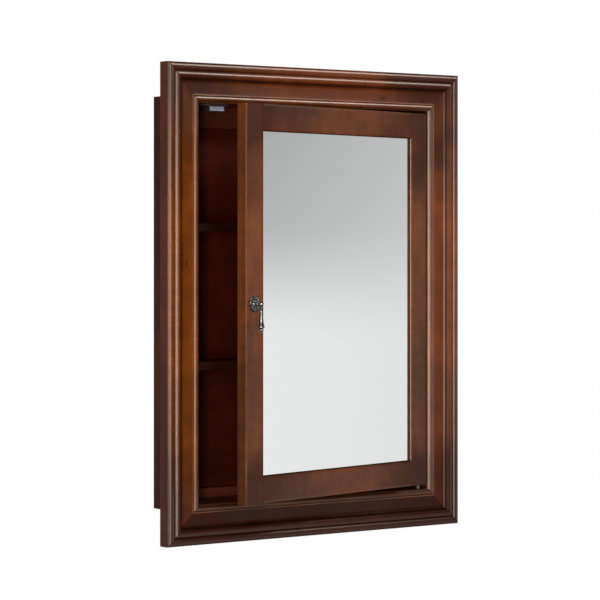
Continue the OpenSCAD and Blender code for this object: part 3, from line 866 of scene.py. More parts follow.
@dataclass
class Blank:
    """A mesh in the making, with the grain, the panel place, and the rubbing, glazing and painted
    light of each of its points.
    """

    places: List[Vector] = field(default_factory=list)
    grain: List[Vector] = field(default_factory=list)
    panel: List[Vector] = field(default_factory=list)
    wear_and_painted_light: List[float] = field(default_factory=list)
    faces: List[Tuple[int, ...]] = field(default_factory=list)
    paint: List[int] = field(default_factory=list)

    def point(self, place: Vector, grain: Optional[Vector] = None,
              panel: Optional[Vector] = None, wear_and_painted_light: float = 0.0) -> int:
        """Adds a point, in metres, and gives its number.

        Args:
            place: Where it is, in metres.
            grain: Where its wood or metal is read, if not there.
            panel: Where its toning is read, if not there.
            wear_and_painted_light: -1 at the bottom of a groove, 0 on a flat and 1 on an arris;
                below 0 it paints glazing and shade, above 0 rubbing and highlights.

        Returns:
            Its number.
        """
        self.places.append(place)
        self.grain.append(grain or place)
        self.panel.append(panel or place)
        self.wear_and_painted_light.append(wear_and_painted_light)
        return len(self.places) - 1

    def worked(self, place: Matrix, spot: Vector, wear_and_painted_light: float) -> int:
        """Adds a point of a small part, at a spot in millimetres in the part's own frame."""
        spot = spot * MM
        return self.point(place @ spot, spot, spot, wear_and_painted_light)

    def face(self, corners: Sequence[int], paint: int = 0) -> None:
        """Adds a face, unless its corners fall together.

        Args:
            corners: The point numbers round it.
            paint: Its material number.
        """
        kept = list(dict.fromkeys(corners))
        if len(kept) > 2:
            self.faces.append(tuple(kept))
            self.paint.append(paint)

    def skin(self, rings: Sequence[Sequence[int]], caps: bool = True, paint: int = 0) -> None:
        """Joins closed rings of equal length by quads.

        Args:
            rings: The point numbers of each ring.
            caps: Whether the first and the last ring are filled.
            paint: The material number of the faces.
        """
        for low, high in zip(rings, rings[1:]):
            for k in range(len(low)):
                after = (k + 1) % len(low)
                self.face((low[k], low[after], high[after], high[k]), paint)
        if caps:
            self.face(rings[0], paint)
            self.face(rings[-1], paint)

    def build(self, name: str, crease: float = 32.0) -> bpy.types.Object:
        """Makes the object.

        Args:
            name: Its name.
            crease: The angle in degrees above which an edge stays sharp.

        Returns:
            The new object, in the scene.
        """
        mesh = bpy.data.meshes.new(name)
        mesh.from_pydata(self.places, [], self.faces)
        mesh.polygons.foreach_set("material_index", self.paint)
        for label, values in (("grain", self.grain), ("panel", self.panel)):
            flat = [part for value in values for part in value]
            mesh.attributes.new(label, "FLOAT_VECTOR", "POINT").data.foreach_set("vector", flat)
        mesh.attributes.new("wear_and_painted_light", "FLOAT", "POINT").data.foreach_set("value", self.wear_and_painted_light)
        settle(mesh, crease)
        return link(name, mesh)


def settle(mesh: bpy.types.Mesh, crease: float) -> None:
    """Points a mesh's faces outwards and shades it smooth, with sharp edges above an angle.

    Args:
        mesh: The mesh to change.
        crease: The angle in degrees.
    """
    work = bmesh.new()
    work.from_mesh(mesh)
    bmesh.ops.remove_doubles(work, verts=work.verts, dist=1e-7)
    bmesh.ops.recalc_face_normals(work, faces=work.faces)
    for facet in work.faces:
        facet.smooth = True
    for edge in work.edges:
        edge.smooth = edge.calc_face_angle(0.0) < math.radians(crease)
    work.to_mesh(mesh)
    work.free()
    mesh.update()


def revolve(blank: Blank, outline: Sequence[Station], place: Matrix, sides: int) -> None:
    """Turns an outline of radius, height and wear about Z.

    Args:
        blank: The mesh that it is added to.
        outline: The stations in order, in millimetres.
        place: Takes the turned shape, in metres, to its place.
        sides: How many steps there are in a turn.
    """
    rings = []
    for radius, height, wear_and_painted_light in outline:
        around = turns(sides) if radius > 1e-6 else [0.0]
        ring = [blank.worked(place, polar(radius, turn, height), wear_and_painted_light) for turn in around]
        rings.append(ring if len(ring) == sides else ring * sides)
    blank.skin(rings, caps=False)


def carve(piece: bpy.types.Object, blank: Blank) -> None:
    """Cuts a closed shape out of a piece.

    Args:
        piece: The piece that is cut.
        blank: The shape, which isn't kept.
    """
    tool = blank.build("cutting_tool")
    cutter = piece.modifiers.new("cut", "BOOLEAN")
    cutter.operation, cutter.solver, cutter.object = "DIFFERENCE", "EXACT", tool
    bpy.context.view_layer.update()
    shape = piece.evaluated_get(bpy.context.evaluated_depsgraph_get())
    old, piece.data = piece.data, bpy.data.meshes.new_from_object(shape)
    piece.modifiers.clear()
    bpy.data.meshes.remove(old)
    bpy.data.objects.remove(tool)


def box(place: Matrix, xs: Sequence[float], ys: Sequence[float], zs: Sequence[float]) -> Blank:
    """Makes a box between two values on each axis, in millimetres in a place's own frame.

    Args:
        place: The frame that the values are in.
        xs: The two values on X.
        ys: The two values on Y.
        zs: The two values on Z.

    Returns:
        The shape.
    """
    made = Blank()
    corners = [(x, y) for x, y in ((xs[0], ys[0]), (xs[1], ys[0]), (xs[1], ys[1]), (xs[0], ys[1]))]
    made.skin([[made.point(place @ (Vector((x, y, z)) * MM)) for x, y in corners]
               for z in sorted(zs)])
    return made


def rod(place: Matrix, radius: float, zs: Sequence[float], sides: int) -> Blank:
    """Makes a rod about Z between two heights, in millimetres in a place's own frame.

    Args:
        place: The frame whose Z is the axis.
        radius: The radius in millimetres.
        zs: The two heights of its ends.
        sides: How many steps there are in a turn.

    Returns:
        The shape.
    """
    made, (low, high) = Blank(), sorted(zs)
    revolve(made, [(0.0, low, 0.0), (radius, low, 0.0), (radius, high, 0.0), (0.0, high, 0.0)],
            place, sides)
    return made


def softened(node: str, name: str, width: float, steps: int = 2) -> bpy.types.Object:
    """Copies a CAD node's shape and eases its arrises.

    Args:
        node: The node to copy.
        name: The new object's name.
        width: The width of the easing in millimetres.
        steps: How many facets round it off.

    Returns:
        The new object.
    """
    mesh = frame["nodes"][node].data.copy()
    mesh.name = name
    mesh.materials.clear()
    work = bmesh.new()
    work.from_mesh(mesh)
    bmesh.ops.remove_doubles(work, verts=work.verts, dist=1e-6)
    bmesh.ops.dissolve_limit(work, angle_limit=math.radians(1.0), verts=work.verts,
                             edges=work.edges)
    sharp = [edge for edge in work.edges
             if len(edge.link_faces) == 2 and edge.calc_face_angle(0.0) > math.radians(40)]
    bmesh.ops.bevel(work, geom=sharp, offset=width * MM, segments=steps, profile=0.6,
                    affect="EDGES", clamp_overlap=True)
    work.to_mesh(mesh)
    work.free()
    settle(mesh, 32.0)
    return link(name, mesh)


def fit(piece: bpy.types.Object, body: Body, slot: Slot, node: str,
        *finishes: Finish) -> None:
    """Dresses a new piece, hides the CAD node that it stands for and lets it ride.

    Args:
        piece: The piece, already in place.
        body: The body that it moves with.
        slot: The material slot that its finish comes from.
        node: The CAD node that it replaces.
        *finishes: The finish of each of its material numbers.
    """
    facets = piece.data.polygons
    painted = [facet.material_index for facet in facets]
    piece.data.materials.clear()
    for finish in finishes:
        piece.data.materials.append(finish.material())
    for facet, number in zip(facets, painted):
        facet.material_index = min(number, len(finishes) - 1)
    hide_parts(node)
    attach(piece, body.value)
    LOG.info("%s rides on %s for %s: %d faces, %s", piece.name, body.value, node,
             len(facets), ", ".join(finish.name for finish in finishes))


def refinish(finish: Finish, *nodes: str) -> None:
    """Gives CAD nodes that keep their shape a finish in each of their material slots.

    Args:
        finish: The finish.
        *nodes: The CAD nodes that take it.
    """
    for node in nodes:
        materials = frame["nodes"][node].data.materials
        if not materials:
            materials.append(None)
        for index in range(len(materials)):
            materials[index] = finish.material()
        LOG.info("%s keeps its shape and takes %s", node, finish.name)


# ---------------------------------------------------------------- sub-assemblies

BOARD_CREASE = 38.0  # degrees above which a board's edge stays sharp
PULL_CREASE = 40.0
RIGHT: Place = (1.0, 0.0, 0.0)
LEFT: Place = (-1.0, 0.0, 0.0)
UP: Place = (0.0, 0.0, 1.0)
DOWN: Place = (0.0, 0.0, -1.0)


@dataclass(frozen=True)
class Board:
    """A member of a frame.

    inward points from its outer edge to the opening, and along is the way that it runs. settled
    is how dark the foot of a frame member's second bead, or a door member's inner arris, is made,
    0 to 1: partly glazing and partly painted shade, set member by member after the way that the
    light falls; on a door, 0 paints a highlight on that arris. flank is how much painted shade
    lies on the second bead's inner side, 0 to 1.
    """

    name: str
    node: str
    inward: Place
    along: Place
    finish: Finish
    settled_shade: float = 1.0
    flank_shade: float = 0.3


@dataclass
class FaceFrame:
    """The mitred face frame: two beads, a quirk, a flat band and a rounded lip."""

    member_w: float = 73.0
    thick: float = 28.0
    bead_w: float = 15.0
    bead_rise: float = 3.5
    bead_r: float = 9.786
    band: float = 20.0
    lip_r: float = 8.0
    lip_top: float = 22.5
    back_y: float = -107.0
    joint_line: float = 1.1
    mitre_wear: float = -0.35
    side_tone_and_shade: float = 0.5  # share of the tone-and-shade place that the outer sides use
    side_facing: float = 0.95  # how squarely a face looks outward to be an outer side
    tone_and_shade: Panel = Panel(0.343, 0.44, 0.27, 1.0)

    def section(self, settled_shade: float, flank_shade: float) -> Outline:
        """Draws a member's section from its outer back corner, round the front, to the back.

        Args:
            settled_shade: How dark the foot of the second bead is, 0 to 1: glazing and painted
                shade.
            flank_shade: How much painted shade lies on that bead's inner side, 0 to 1.

        Returns:
            The stations: millimetres in from the outer edge and forward from the back.
        """
        groove = self.thick - self.bead_rise
        middle = self.thick - self.bead_r
        band = self.band

        def crown(share: float) -> float:
            """Rubs a bead's crown a little, and darkens its two feet with glazing and painted
            shade.
            """
            return 0.1 - 0.6 * abs(2 * share - 1) ** 12

        def inner_bead(share: float) -> float:
            """Adds painted shade on the side that faces the band, which turns away from the light.
            """
            return crown(share) - flank_shade * ramp(share, 0.56, 0.76)

        # Values below 0 paint glazing and shade into grooves and quirks; values above 0 paint
        # rubbing and highlights along arrises.
        outline: Outline = [(0.0, 0.0, 0.0), (0.0, groove - 2.4, 0.0)]
        outline += bend((0.0, groove - 1.8, 0.1), (0.05, groove + 0.1),
                        (1.1, groove + 1.13, 0.3), 4)
        outline += arc((self.bead_w * 0.5, middle), self.bead_r, 126, 48, 12, crown)
        # Glazing and painted shade in the groove between the beads.
        outline += [(14.65, groove + 0.3375, -0.7), (self.bead_w, groove + 0.21, -1.0),
                    (15.35, groove + 0.3375, -0.7)]
        outline += arc((self.bead_w * 1.5, middle), self.bead_r, 132, 50, 12, inner_bead)
        # Glazing and painted shade in the quirk past the second bead.
        outline += bend((29.3, groove + 0.45, -0.5), (self.bead_w * 2, groove),
                        (30.3, groove - 1.2, -1.0), 3)
        outline += [(30.7, groove - 1.2, -1.0)]
        # The foot of the second bead: glazing, and painted shade that is set member by member.
        outline += bend((31.0, groove - 0.9, -settled_shade), (32.0, band + 0.2), (39.0, band, 0.0), 9)
        outline += bend((46.0, band, 0.0), (52.5, band), (57.2, band + 0.3, 0.0), 5)
        # A painted highlight of rubbing along the arris before the quirk, then painted shade in
        # the quirk.
        outline += [(58.2, band + 0.42, 0.6), (59.0, band + 0.5, 0.8), (59.5, band + 0.45, 0.8),
                    (59.9, band + 0.2, -0.9)]
        # The lip's rubbing is laid as two lighter lines, which are painted highlights.
        outline += arc((self.member_w - self.lip_r, self.lip_top - self.lip_r), self.lip_r,
                       122, 0, 16, lambda share: 0.5 * math.sin(2 * math.pi * share) ** 2)
        return outline + [(self.member_w, 12.0, 0.0), (self.member_w, 0.0, 0.0)]

    def member(self, board: Board, span: float, length: float) -> None:
        """Sweeps the section along one member, with mitred ends.

        Args:
            board: The member.
            span: The frame's outer size across the member, in millimetres.
            length: The member's outer length, in millimetres.
        """
        inward, along = Vector(board.inward), Vector(board.along)
        blank = Blank()
        rings = []
        mitre = (0.0, self.mitre_wear)
        open_end = (self.joint_line, 0.0)
        for share, (back_off, shade) in ((-1, mitre), (-1, open_end), (1, open_end), (1, mitre)):
            ring = []
            for across, height, wear_and_painted_light in self.section(board.settled_shade, board.flank_shade):
                reach = share * (length / 2 - across - back_off)
                place = inward * (across - span / 2) + along * reach
                place.y = self.back_y - height
                grain = Vector((across, height, reach)) * MM
                # The outer sides take less of the corners' sprayed tone and painted shade.
                shade_and_tone = place * MM
                if across == 0.0:
                    shade_and_tone *= self.side_tone_and_shade
                ring.append(blank.point(place * MM, grain, shade_and_tone, min(wear_and_painted_light, wear_and_painted_light + shade)))
            rings.append(ring)
        blank.skin(rings)
        piece = blank.build(board.name, BOARD_CREASE)
        for facet in piece.data.polygons:
            outward = -facet.normal.dot(inward)
            facet.material_index = 1 if outward > self.side_facing else 0
        fit(piece, Body.CABINET, Slot.STAINED_WOOD, board.node, board.finish, SIDE_WOOD)

    def build(self) -> None:
        """Makes the four members."""
        low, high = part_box("frame_left_stile")
        height = (high.z - low.z) / MM
        low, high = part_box("frame_top_rail")
        width = (high.x - low.x) / MM
        golden = LacqueredWood(
            "frame_left_stile_wood", "78400d", "623006", "411d04", glaze_and_shade="170803",
            rubbed_and_highlight="a86c3c", lacquer=0.8, panel=Panel(0.343, 0.44, 0.2, 0.9),
            knots=((0.045, 0.020, 0.073), (0.008, 0.027, -0.24)), knot_r=0.0045)
        russet = LacqueredWood("frame_right_stile_wood", "713913", "5d2c0c", "3b1a08",
                               lacquer=0.9, panel=self.tone_and_shade)
        copper = LacqueredWood("frame_top_rail_wood", "64310f", "512409", "2f1304", lacquer=0.65,
                               panel=self.tone_and_shade, knots=((0.050, 0.020, 0.158), NO_KNOT))
        # The bottom rail's stain is much darker than the other members': partly its own colour and
        # partly painted shade under the ajar door.
        umber = LacqueredWood("frame_bottom_rail_wood_and_shade", "351808", "2b1207", "180804",
                              lacquer=0.8, panel=self.tone_and_shade)
        # The two numbers after each finish paint shade at the foot and on the inner side of the
        # second bead, most on the left stile and least on the right one, after the way that the
        # light falls.
        for board in (
            Board("left_stile_moulding", "frame_left_stile", RIGHT, UP, golden, 1.0, 0.8),
            Board("right_stile_moulding", "frame_right_stile", LEFT, UP, russet, 0.1),
            Board("top_rail_moulding", "frame_top_rail", DOWN, RIGHT, copper),
            Board("bottom_rail_moulding", "frame_bottom_rail", UP, RIGHT, umber),
        ):
            sizes = (width, height) if board.along == UP else (height, width)
            self.member(board, *sizes)


@dataclass
class Door:
    """The inset door, ajar at rest: two through stiles, two rails and a mirror in a rebate."""

    width: float = 532.0
    height: float = 723.0
    thick: float = 21.0
    stile_w: float = 48.0
    rail_w: float = 50.0
    lap: float = 9.0
    inset: float = 5.0
    outer_r: float = 1.5
    inner_r: float = 1.6
    end_ease: float = 0.6
    face_y: float = -128.5
    glass_w: float = 452.0
    glass_h: float = 639.0
    glass_t: float = 4.0
    plate_l: float = 34.0
    plate_w: float = 11.0
    plate_t: float = 2.0
    plate_edge: float = 3.0
    pin_hole_r: float = 3.0
    pin_hole_l: float = 8.0
    ease: float = 0.05
    tone_and_shade: Panel = Panel(0.266, 0.3615, 0.2, 0.85)
    shade_lift: float = 20.0  # the stiles' sprayed tone and painted shade are read this far up, so their tops get more painted shade
    edge_tone_and_shade: float = 0.2  # share of the tone-and-shade place that the stiles' outer edges use
    edge_wear: float = -0.25
    shoulder: float = 0.9  # how far glaze reaches along a rail from its joint with a stile
    shoulder_wear: float = -0.6

    def pivot(self) -> Vector:
        """Gives the middle of the hinge axis."""
        return Vector(self.joint()["pos_m"])

    def joint(self) -> Dict[str, Sequence[float]]:
        """Gives the door's joint in the frame."""
        return next(each for each in frame["joints"] if each["name"] == "door_swing")

    def hung(self) -> Matrix:
        """Gives the turn and the lift from the closed door, about its own middle, to rest.

        Returns:
            The move from the closed door to rest.
        """
        low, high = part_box("mirror_glass")
        lift = Matrix.Translation((0.0, 0.0, (low.z + high.z) / 2))
        turn = Matrix.Rotation(math.radians(-self.joint()["range_deg"][0]), 4, "Z")
        return lift @ Matrix.Translation(self.pivot()) @ turn @ Matrix.Translation(-self.pivot())

    def section(self, wide: float, settled_shade: float, past: float = 0.0) -> Outline:
        """Draws a member's section from its outer back corner, round the front, to the back.

        Args:
            wide: The member's width in millimetres.
            settled_shade: How dark the inner arris is, 0 to 1: at 1 glazing and painted shade, at
                0 a painted highlight of rubbing.
            past: How far the section lies past the end of the mirror's opening, where the inner
                arris dies out.

        Returns:
            The stations: millimetres in from the outer edge and back from the face.
        """
        rebate, round_r, thick = wide - self.lap, self.inner_r, self.thick
        outline = bend((1.0, thick, 0.3), (0.0, thick), (0.0, thick - 1.0, 0.3), 2)
        outline += [(0.0, 4.0, 0.0)]
        outline += bend((0.0, self.outer_r, 0.2), (0.0, 0.0), (self.outer_r, 0.0, 0.2), 4)
        outline += [(5.0, 0.0, 0.0), (wide - 7.0, 0.0, 0.0), (wide - round_r, 0.0, -0.2 * settled_shade)]
        for angle in range(18, 91, 18):
            aside = round_r * (1 - math.cos(math.radians(angle)))
            gap = min(round_r, math.hypot(round_r - aside, past))
            drop = round_r - math.sqrt(round_r ** 2 - (round_r - gap) ** 2)
            # Painted shade on the inner arris, turning to a painted highlight as the value falls
            # to 0.
            wear_and_painted_light = 0.9 - 1.8 * settled_shade if gap < round_r else 0.0
            outline.append((wide - round_r + aside, drop, wear_and_painted_light))
        # The rebate's wall round the mirror takes glazing and painted shade.
        return outline + [
            (wide, round_r + 0.5, -0.9), (wide, self.inset, -1.0), (rebate, self.inset, -0.6),
            (rebate, thick - 0.8, 0.0), (rebate - 0.8, thick, 0.3)]

    def stile(self, board: Board) -> None:
        """Sweeps a stile from end to end; its inner arris stops at the mirror's opening.

        Args:
            board: The stile.
        """
        half, round_r = self.height / 2, self.inner_r
        opening = half - self.rail_w
        clear = 9.0  # so far past the opening's end that no inner arris is left
        runs = [(half, clear, 0.25), (half - 0.7, clear, 0.0), (opening + round_r, clear, 0.0)]
        runs += [(opening + round_r * share, round_r * share, 0.0) for share in (0.7, 0.45, 0.2)]
        runs += [(opening, 0.0, 0.0)]
        runs = [(-reach, past, edge) for reach, past, edge in runs] + runs[::-1]
        blank = Blank()
        # Reading the corners' painted shade higher up darkens the stiles' tops.
        inward, lift = Vector(board.inward), Vector((0.0, 0.0, self.shade_lift))
        hung = self.hung()
        rings = []
        for reach, past, edge in runs:
            ring = []
            trim = self.end_ease if abs(reach) == half else 0.0
            for across, depth, wear_and_painted_light in self.section(self.stile_w, board.settled_shade, past):
                across = min(max(across, trim), self.stile_w - trim)
                depth = min(max(depth, trim), self.thick - trim)
                place = (inward * (across - self.width / 2)
                         + Vector((0.0, self.face_y + depth, reach)))
                # The outer edges take less of the corners' sprayed tone and painted shade.
                tone_and_shade, worn = (self.edge_tone_and_shade, self.edge_wear) if across < 1.0 else (1.0, 0.0)
                ring.append(blank.point(hung @ (place * MM), Vector((across, depth, reach)) * MM,
                                        (place + lift) * MM * tone_and_shade, wear_and_painted_light + edge + worn))
            rings.append(ring)
        blank.skin(rings)
        piece = blank.build(board.name, BOARD_CREASE)
        if inward.x < 0.0:
            self.seat_hinges(piece)
        fit(piece, Body.DOOR, Slot.STAINED_WOOD, board.node, board.finish)

    def seat_hinges(self, stile: bpy.types.Object) -> None:
        """Cuts the hinge plates' seats and the pins' holes into the two ends of a stile.

        Args:
            stile: The hinge stile, already in place.
        """
        pivot = self.pivot()
        middle = pivot.y / MM
        edge = self.width / 2 - self.plate_edge + self.ease
        far = edge - self.plate_l - 2 * self.ease
        aside = self.plate_w / 2 + self.ease
        hung = self.hung()
        for end in (-1, 1):
            mouth, seat, hole = (end * (self.height / 2 + out)
                                 for out in (1.0, -self.plate_t, -self.pin_hole_l))
            carve(stile, box(hung, (far, edge), (middle - aside, middle + aside), (seat, mouth)))
            axis = hung @ Matrix.Translation((pivot.x, pivot.y, 0.0))
            carve(stile, rod(axis, self.pin_hole_r, (hole, mouth), 32))

    def rail(self, board: Board) -> None:
        """Sweeps a rail between the stiles; behind the mirror's face it laps their rebates.

        Args:
            board: The rail.
        """
        shown = self.width / 2 - self.stile_w - self.ease
        blank = Blank()
        inward = Vector(board.inward)
        hung = self.hung()

        def spot(reach: float, across: float, depth: float, wear_and_painted_light: float) -> int:
            """Adds one point of the rail.

            Args:
                reach: How far it is along the rail from the door's middle.
                across: How far it is in from the outer edge.
                depth: How far it is back from the face.
                wear_and_painted_light: Its wear.

            Returns:
                Its number.
            """
            place = (inward * (across - self.height / 2)
                     + Vector((reach, self.face_y + depth, 0.0))) * MM
            return blank.point(hung @ place, Vector((across, depth, reach)) * MM, place, wear_and_painted_light)

        outline = self.section(self.rail_w, board.settled_shade)
        behind = self.inset + self.ease
        split = next(k for k, station in enumerate(outline) if station[1] <= 4.0)
        outer, lapped = (0.0, behind, 0.0), (self.rail_w - self.lap, behind, -0.6)
        front = [outer, *outline[split:-3], (self.rail_w, behind, -0.6), lapped]
        rear = [*outline[:split], outer, lapped, *outline[-2:]]
        for end, shape in ((shown, front), (shown + self.lap, rear)):
            inside = end - self.shoulder
            blank.skin([
                [spot(reach, across, depth, min(wear_and_painted_light, wear_and_painted_light + shade))
                 for across, depth, wear_and_painted_light in shape]
                for reach, shade in ((-end, self.shoulder_wear), (-inside, 0.0), (inside, 0.0),
                                     (end, self.shoulder_wear))])
        fit(blank.build(board.name, BOARD_CREASE), Body.DOOR, Slot.STAINED_WOOD, board.node,
            board.finish)

    def mirror(self) -> None:
        """Makes the plate: a silvered face with ground arrises, and paint on its back."""
        face = self.face_y + self.inset + self.ease
        blank = Blank()
        hung = self.hung()
        rings = []
        for depth, edge in ((0.0, 1.2), (0.5, 0.35), (1.0, 0.0), (self.glass_t - 0.6, 0.0),
                            (self.glass_t, 0.6)):
            ring = []
            for x, z in ((-1, -1), (1, -1), (1, 1), (-1, 1)):
                place = Vector((x * (self.glass_w / 2 - edge), face + depth,
                                z * (self.glass_h / 2 - edge))) * MM
                ring.append(blank.point(hung @ place, place, place))
            rings.append(ring)
        blank.skin(rings, caps=False, paint=1)
        blank.face(rings[0], 0)
        blank.face(rings[-1], 2)
        fit(blank.build("mirror_plate", 10.0), Body.DOOR, Slot.MIRROR, "mirror_glass",
            Silvering("mirror_silver"), GlassEdge("mirror_ground_edge"),
            Moulded("mirror_back_paint", "5d5f63", "4c4e52", 0.6))

    def build(self) -> None:
        """Makes the four members and the mirror."""
        # The last number paints shade on the inner arris, and 0 on the hinge stile paints a
        # highlight there.
        for make, name, side, inward, along, stains, lacquer, settled_shade in (
            (self.stile, "pull_stile", "left_stile", RIGHT, UP,
             ("6a3a16", "592c0d", "351807"), 0.6, 1.0),
            (self.stile, "hinge_stile", "right_stile", LEFT, UP,
             ("673a19", "562c0f", "31180a"), 0.6, 0.0),
            (self.rail, "upper_rail", "top_rail", DOWN, RIGHT,
             ("603111", "4e2509", "2c1404"), 0.55, 1.0),
            (self.rail, "lower_rail", "bottom_rail", UP, RIGHT,
             ("653517", "52280f", "2f1609"), 0.6, 1.0),
        ):
            finish = LacqueredWood(f"door_{side}_wood", *stains, lacquer=lacquer,
                                   panel=self.tone_and_shade)
            make(Board(f"door_{name}", f"door_{side}", inward, along, finish, settled_shade))
        self.mirror()


@dataclass
class Pull:
    """The pewter pull: a flower rosette, a post, and a turned drop on a pin."""

    petals: int = 8
    petal_ring: float = 10.1
    petal_r: float = 5.4
    boss_r: float = 5.0
    boss_h: float = 4.0
    rim_h: float = 0.75
    flower_sides: int = 192
    flower_rings: int = 26
    tongue_sides: int = 64
    bore_r: float = 2.2
    out: float = 17.0
    post_end: float = 12.0
    tongue_t: float = 3.0
    tongue_r: float = 3.5
    tongue_ease: float = 0.35
    pin_bore: float = 1.05
    in_from_edge: float = 22.0
    drop_l: float = 53.0
    head_r: float = 4.2
    slot_w: float = 3.5
    slot_drop: float = 4.8

    def on_door(self, door: Door) -> Matrix:
        """Gives the pull's place: its Z points out of the door from the face."""
        spot = Vector((self.in_from_edge - door.width / 2, door.face_y, 0.0)) * MM
        return door.hung() @ Matrix.Translation(spot) @ Matrix.Rotation(math.radians(90), 4, "X")

    def relief(self, angle: float, share: float) -> Station:
        """Works out the rosette's radius, height and wear.

        Args:
            angle: The angle about the rosette's axis.
            share: 0 at the bore, 1 at the rim.

        Returns:
            Radius and height in millimetres, and the wear.
        """
        pitch = 2 * math.pi / self.petals
        off = (angle + pitch / 2) % pitch - pitch / 2
        sine = self.petal_ring * math.sin(off)
        rim = self.petal_ring * math.cos(off) + math.sqrt(max(0.0, self.petal_r ** 2 - sine ** 2))
        radius = self.bore_r + (rim - self.bore_r) * share
        if share == 1.0:
            return radius, self.rim_h, 0.1
        east = radius * math.cos(off) - self.petal_ring
        north = radius * math.sin(off)
        away = math.hypot(east, north * 1.12) / (self.petal_r * 0.97)
        flute = math.exp(-((north / 0.55) ** 2)) * max(0.0, 1 - abs(east) / 4.2)
        petal = 1.1 + 1.75 * math.sqrt(max(0.0, 1 - away * away)) - 0.45 * flute
        boss = self.boss_h - 1.35 * max(0.0, radius - self.boss_r)
        height = max(petal, boss)
        if radius > self.boss_r and abs(petal - boss) < 0.5:
            return radius, height, -1.0
        return radius, height, -1.0 + 1.55 * ramp(height, 1.3, 2.8)

    def rosette(self, door: Door) -> None:
        """Raises eight fluted petals round a boss.

        Args:
            door: The door that it sits on.
        """
        blank = Blank()
        place = self.on_door(door)

        def ring(share: float, floor: bool = False) -> List[int]:
            """Adds a ring at a share of the way out, on the relief or on the door.

            Args:
                share: The share of the way out from the bore.
                floor: Whether it lies on the door and not on the relief.

            Returns:
                The ring's point numbers.
            """
            made = []
            for turn in turns(self.flower_sides):
                radius, height, wear_and_painted_light = self.relief(turn, share)
                made.append(blank.worked(place, polar(radius, turn, 0.0 if floor else height),
                                         wear_and_painted_light))
            return made

        rings = [ring(0.0, True)]
        for step in range(self.flower_rings + 1):
            rings.append(ring(math.sin(step / self.flower_rings * math.pi / 2) ** 0.9))
        rings += [ring(1.0, True), rings[0]]
        blank.skin(rings, caps=False)
        fit(blank.build("rosette_flower", 50.0), Body.DOOR, Slot.PEWTER, "pull_rosette", PEWTER)

    def tongue(self, blank: Blank, place: Matrix) -> None:
        """Adds the flat tongue: round about the pin's bore, and square down to the post.

        Args:
            blank: The mesh that it is added to.
            place: The pull's place on the door.
        """
        root = self.out - self.post_end + 0.6

        def spot(aside: float, north: float, outward: float) -> int:
            """Adds one point, measured from the middle of the pin."""
            return blank.worked(place, Vector((aside, north, self.out + outward)), -0.3)

        shell = []
        for side, shrink in ((-1, self.tongue_ease), (-1, 0.0), (1, 0.0), (1, self.tongue_ease)):
            depth = side * (self.tongue_t / 2 + shrink - self.tongue_ease)
            ring = []
            for turn in turns(self.tongue_sides):
                north, outward = math.cos(turn), math.sin(turn)
                reach = self.tongue_r
                if outward < 0:
                    reach = min(self.tongue_r / max(1e-6, abs(north)), root / max(1e-6, -outward))
                reach -= shrink
                ring.append(spot(depth, reach * north, reach * outward))
            shell.append(ring)
        bore = [[spot(side * self.tongue_t / 2, self.pin_bore * math.cos(turn),
                      self.pin_bore * math.sin(turn)) for turn in turns(self.tongue_sides)]
                for side in (-1, 1)]
        blank.skin([bore[0], *shell, bore[1], bore[0]], caps=False)

    def post(self, door: Door) -> None:
        """Turns the post and gives it the tongue that the drop's head straddles.

        Args:
            door: The door that it sits on.
        """
        high, end = self.boss_h, self.post_end
        outline: Outline = [(0.0, end - 1.0, 0.0), (2.0, end - 1.0, 0.0), (2.0, high, 0.0)]
        outline += bend((4.4, high, -0.2), (5.0, high), (5.0, high + 0.7, 0.5), 3)
        outline += bend((5.0, high + 0.7, 0.5), (5.0, high + 1.4), (4.2, high + 1.5, 0.2), 3)[1:]
        outline += bend((3.5, high + 1.7, -1.0), (2.5, high + 2.4), (2.6, high + 3.8, -0.9), 5)
        outline += arc((2.5, high + 5.1), 1.1, -75, 75, 8, swell(0.8))
        outline += bend((2.55, high + 6.4, -1.0), (2.5, end - 0.9), (3.1, end - 0.5, -0.2), 3)
        outline += bend((3.1, end - 0.5, 0.2), (3.4, end - 0.3), (3.2, end, 0.1), 3)[1:]
        outline += [(0.0, end, 0.0)]
        blank = Blank()
        place = self.on_door(door)
        revolve(blank, outline, place, 40)
        self.tongue(blank, place)
        piece = blank.build("post_and_tongue", PULL_CREASE)
        fit(piece, Body.DOOR, Slot.PEWTER, "pull_post", PEWTER)

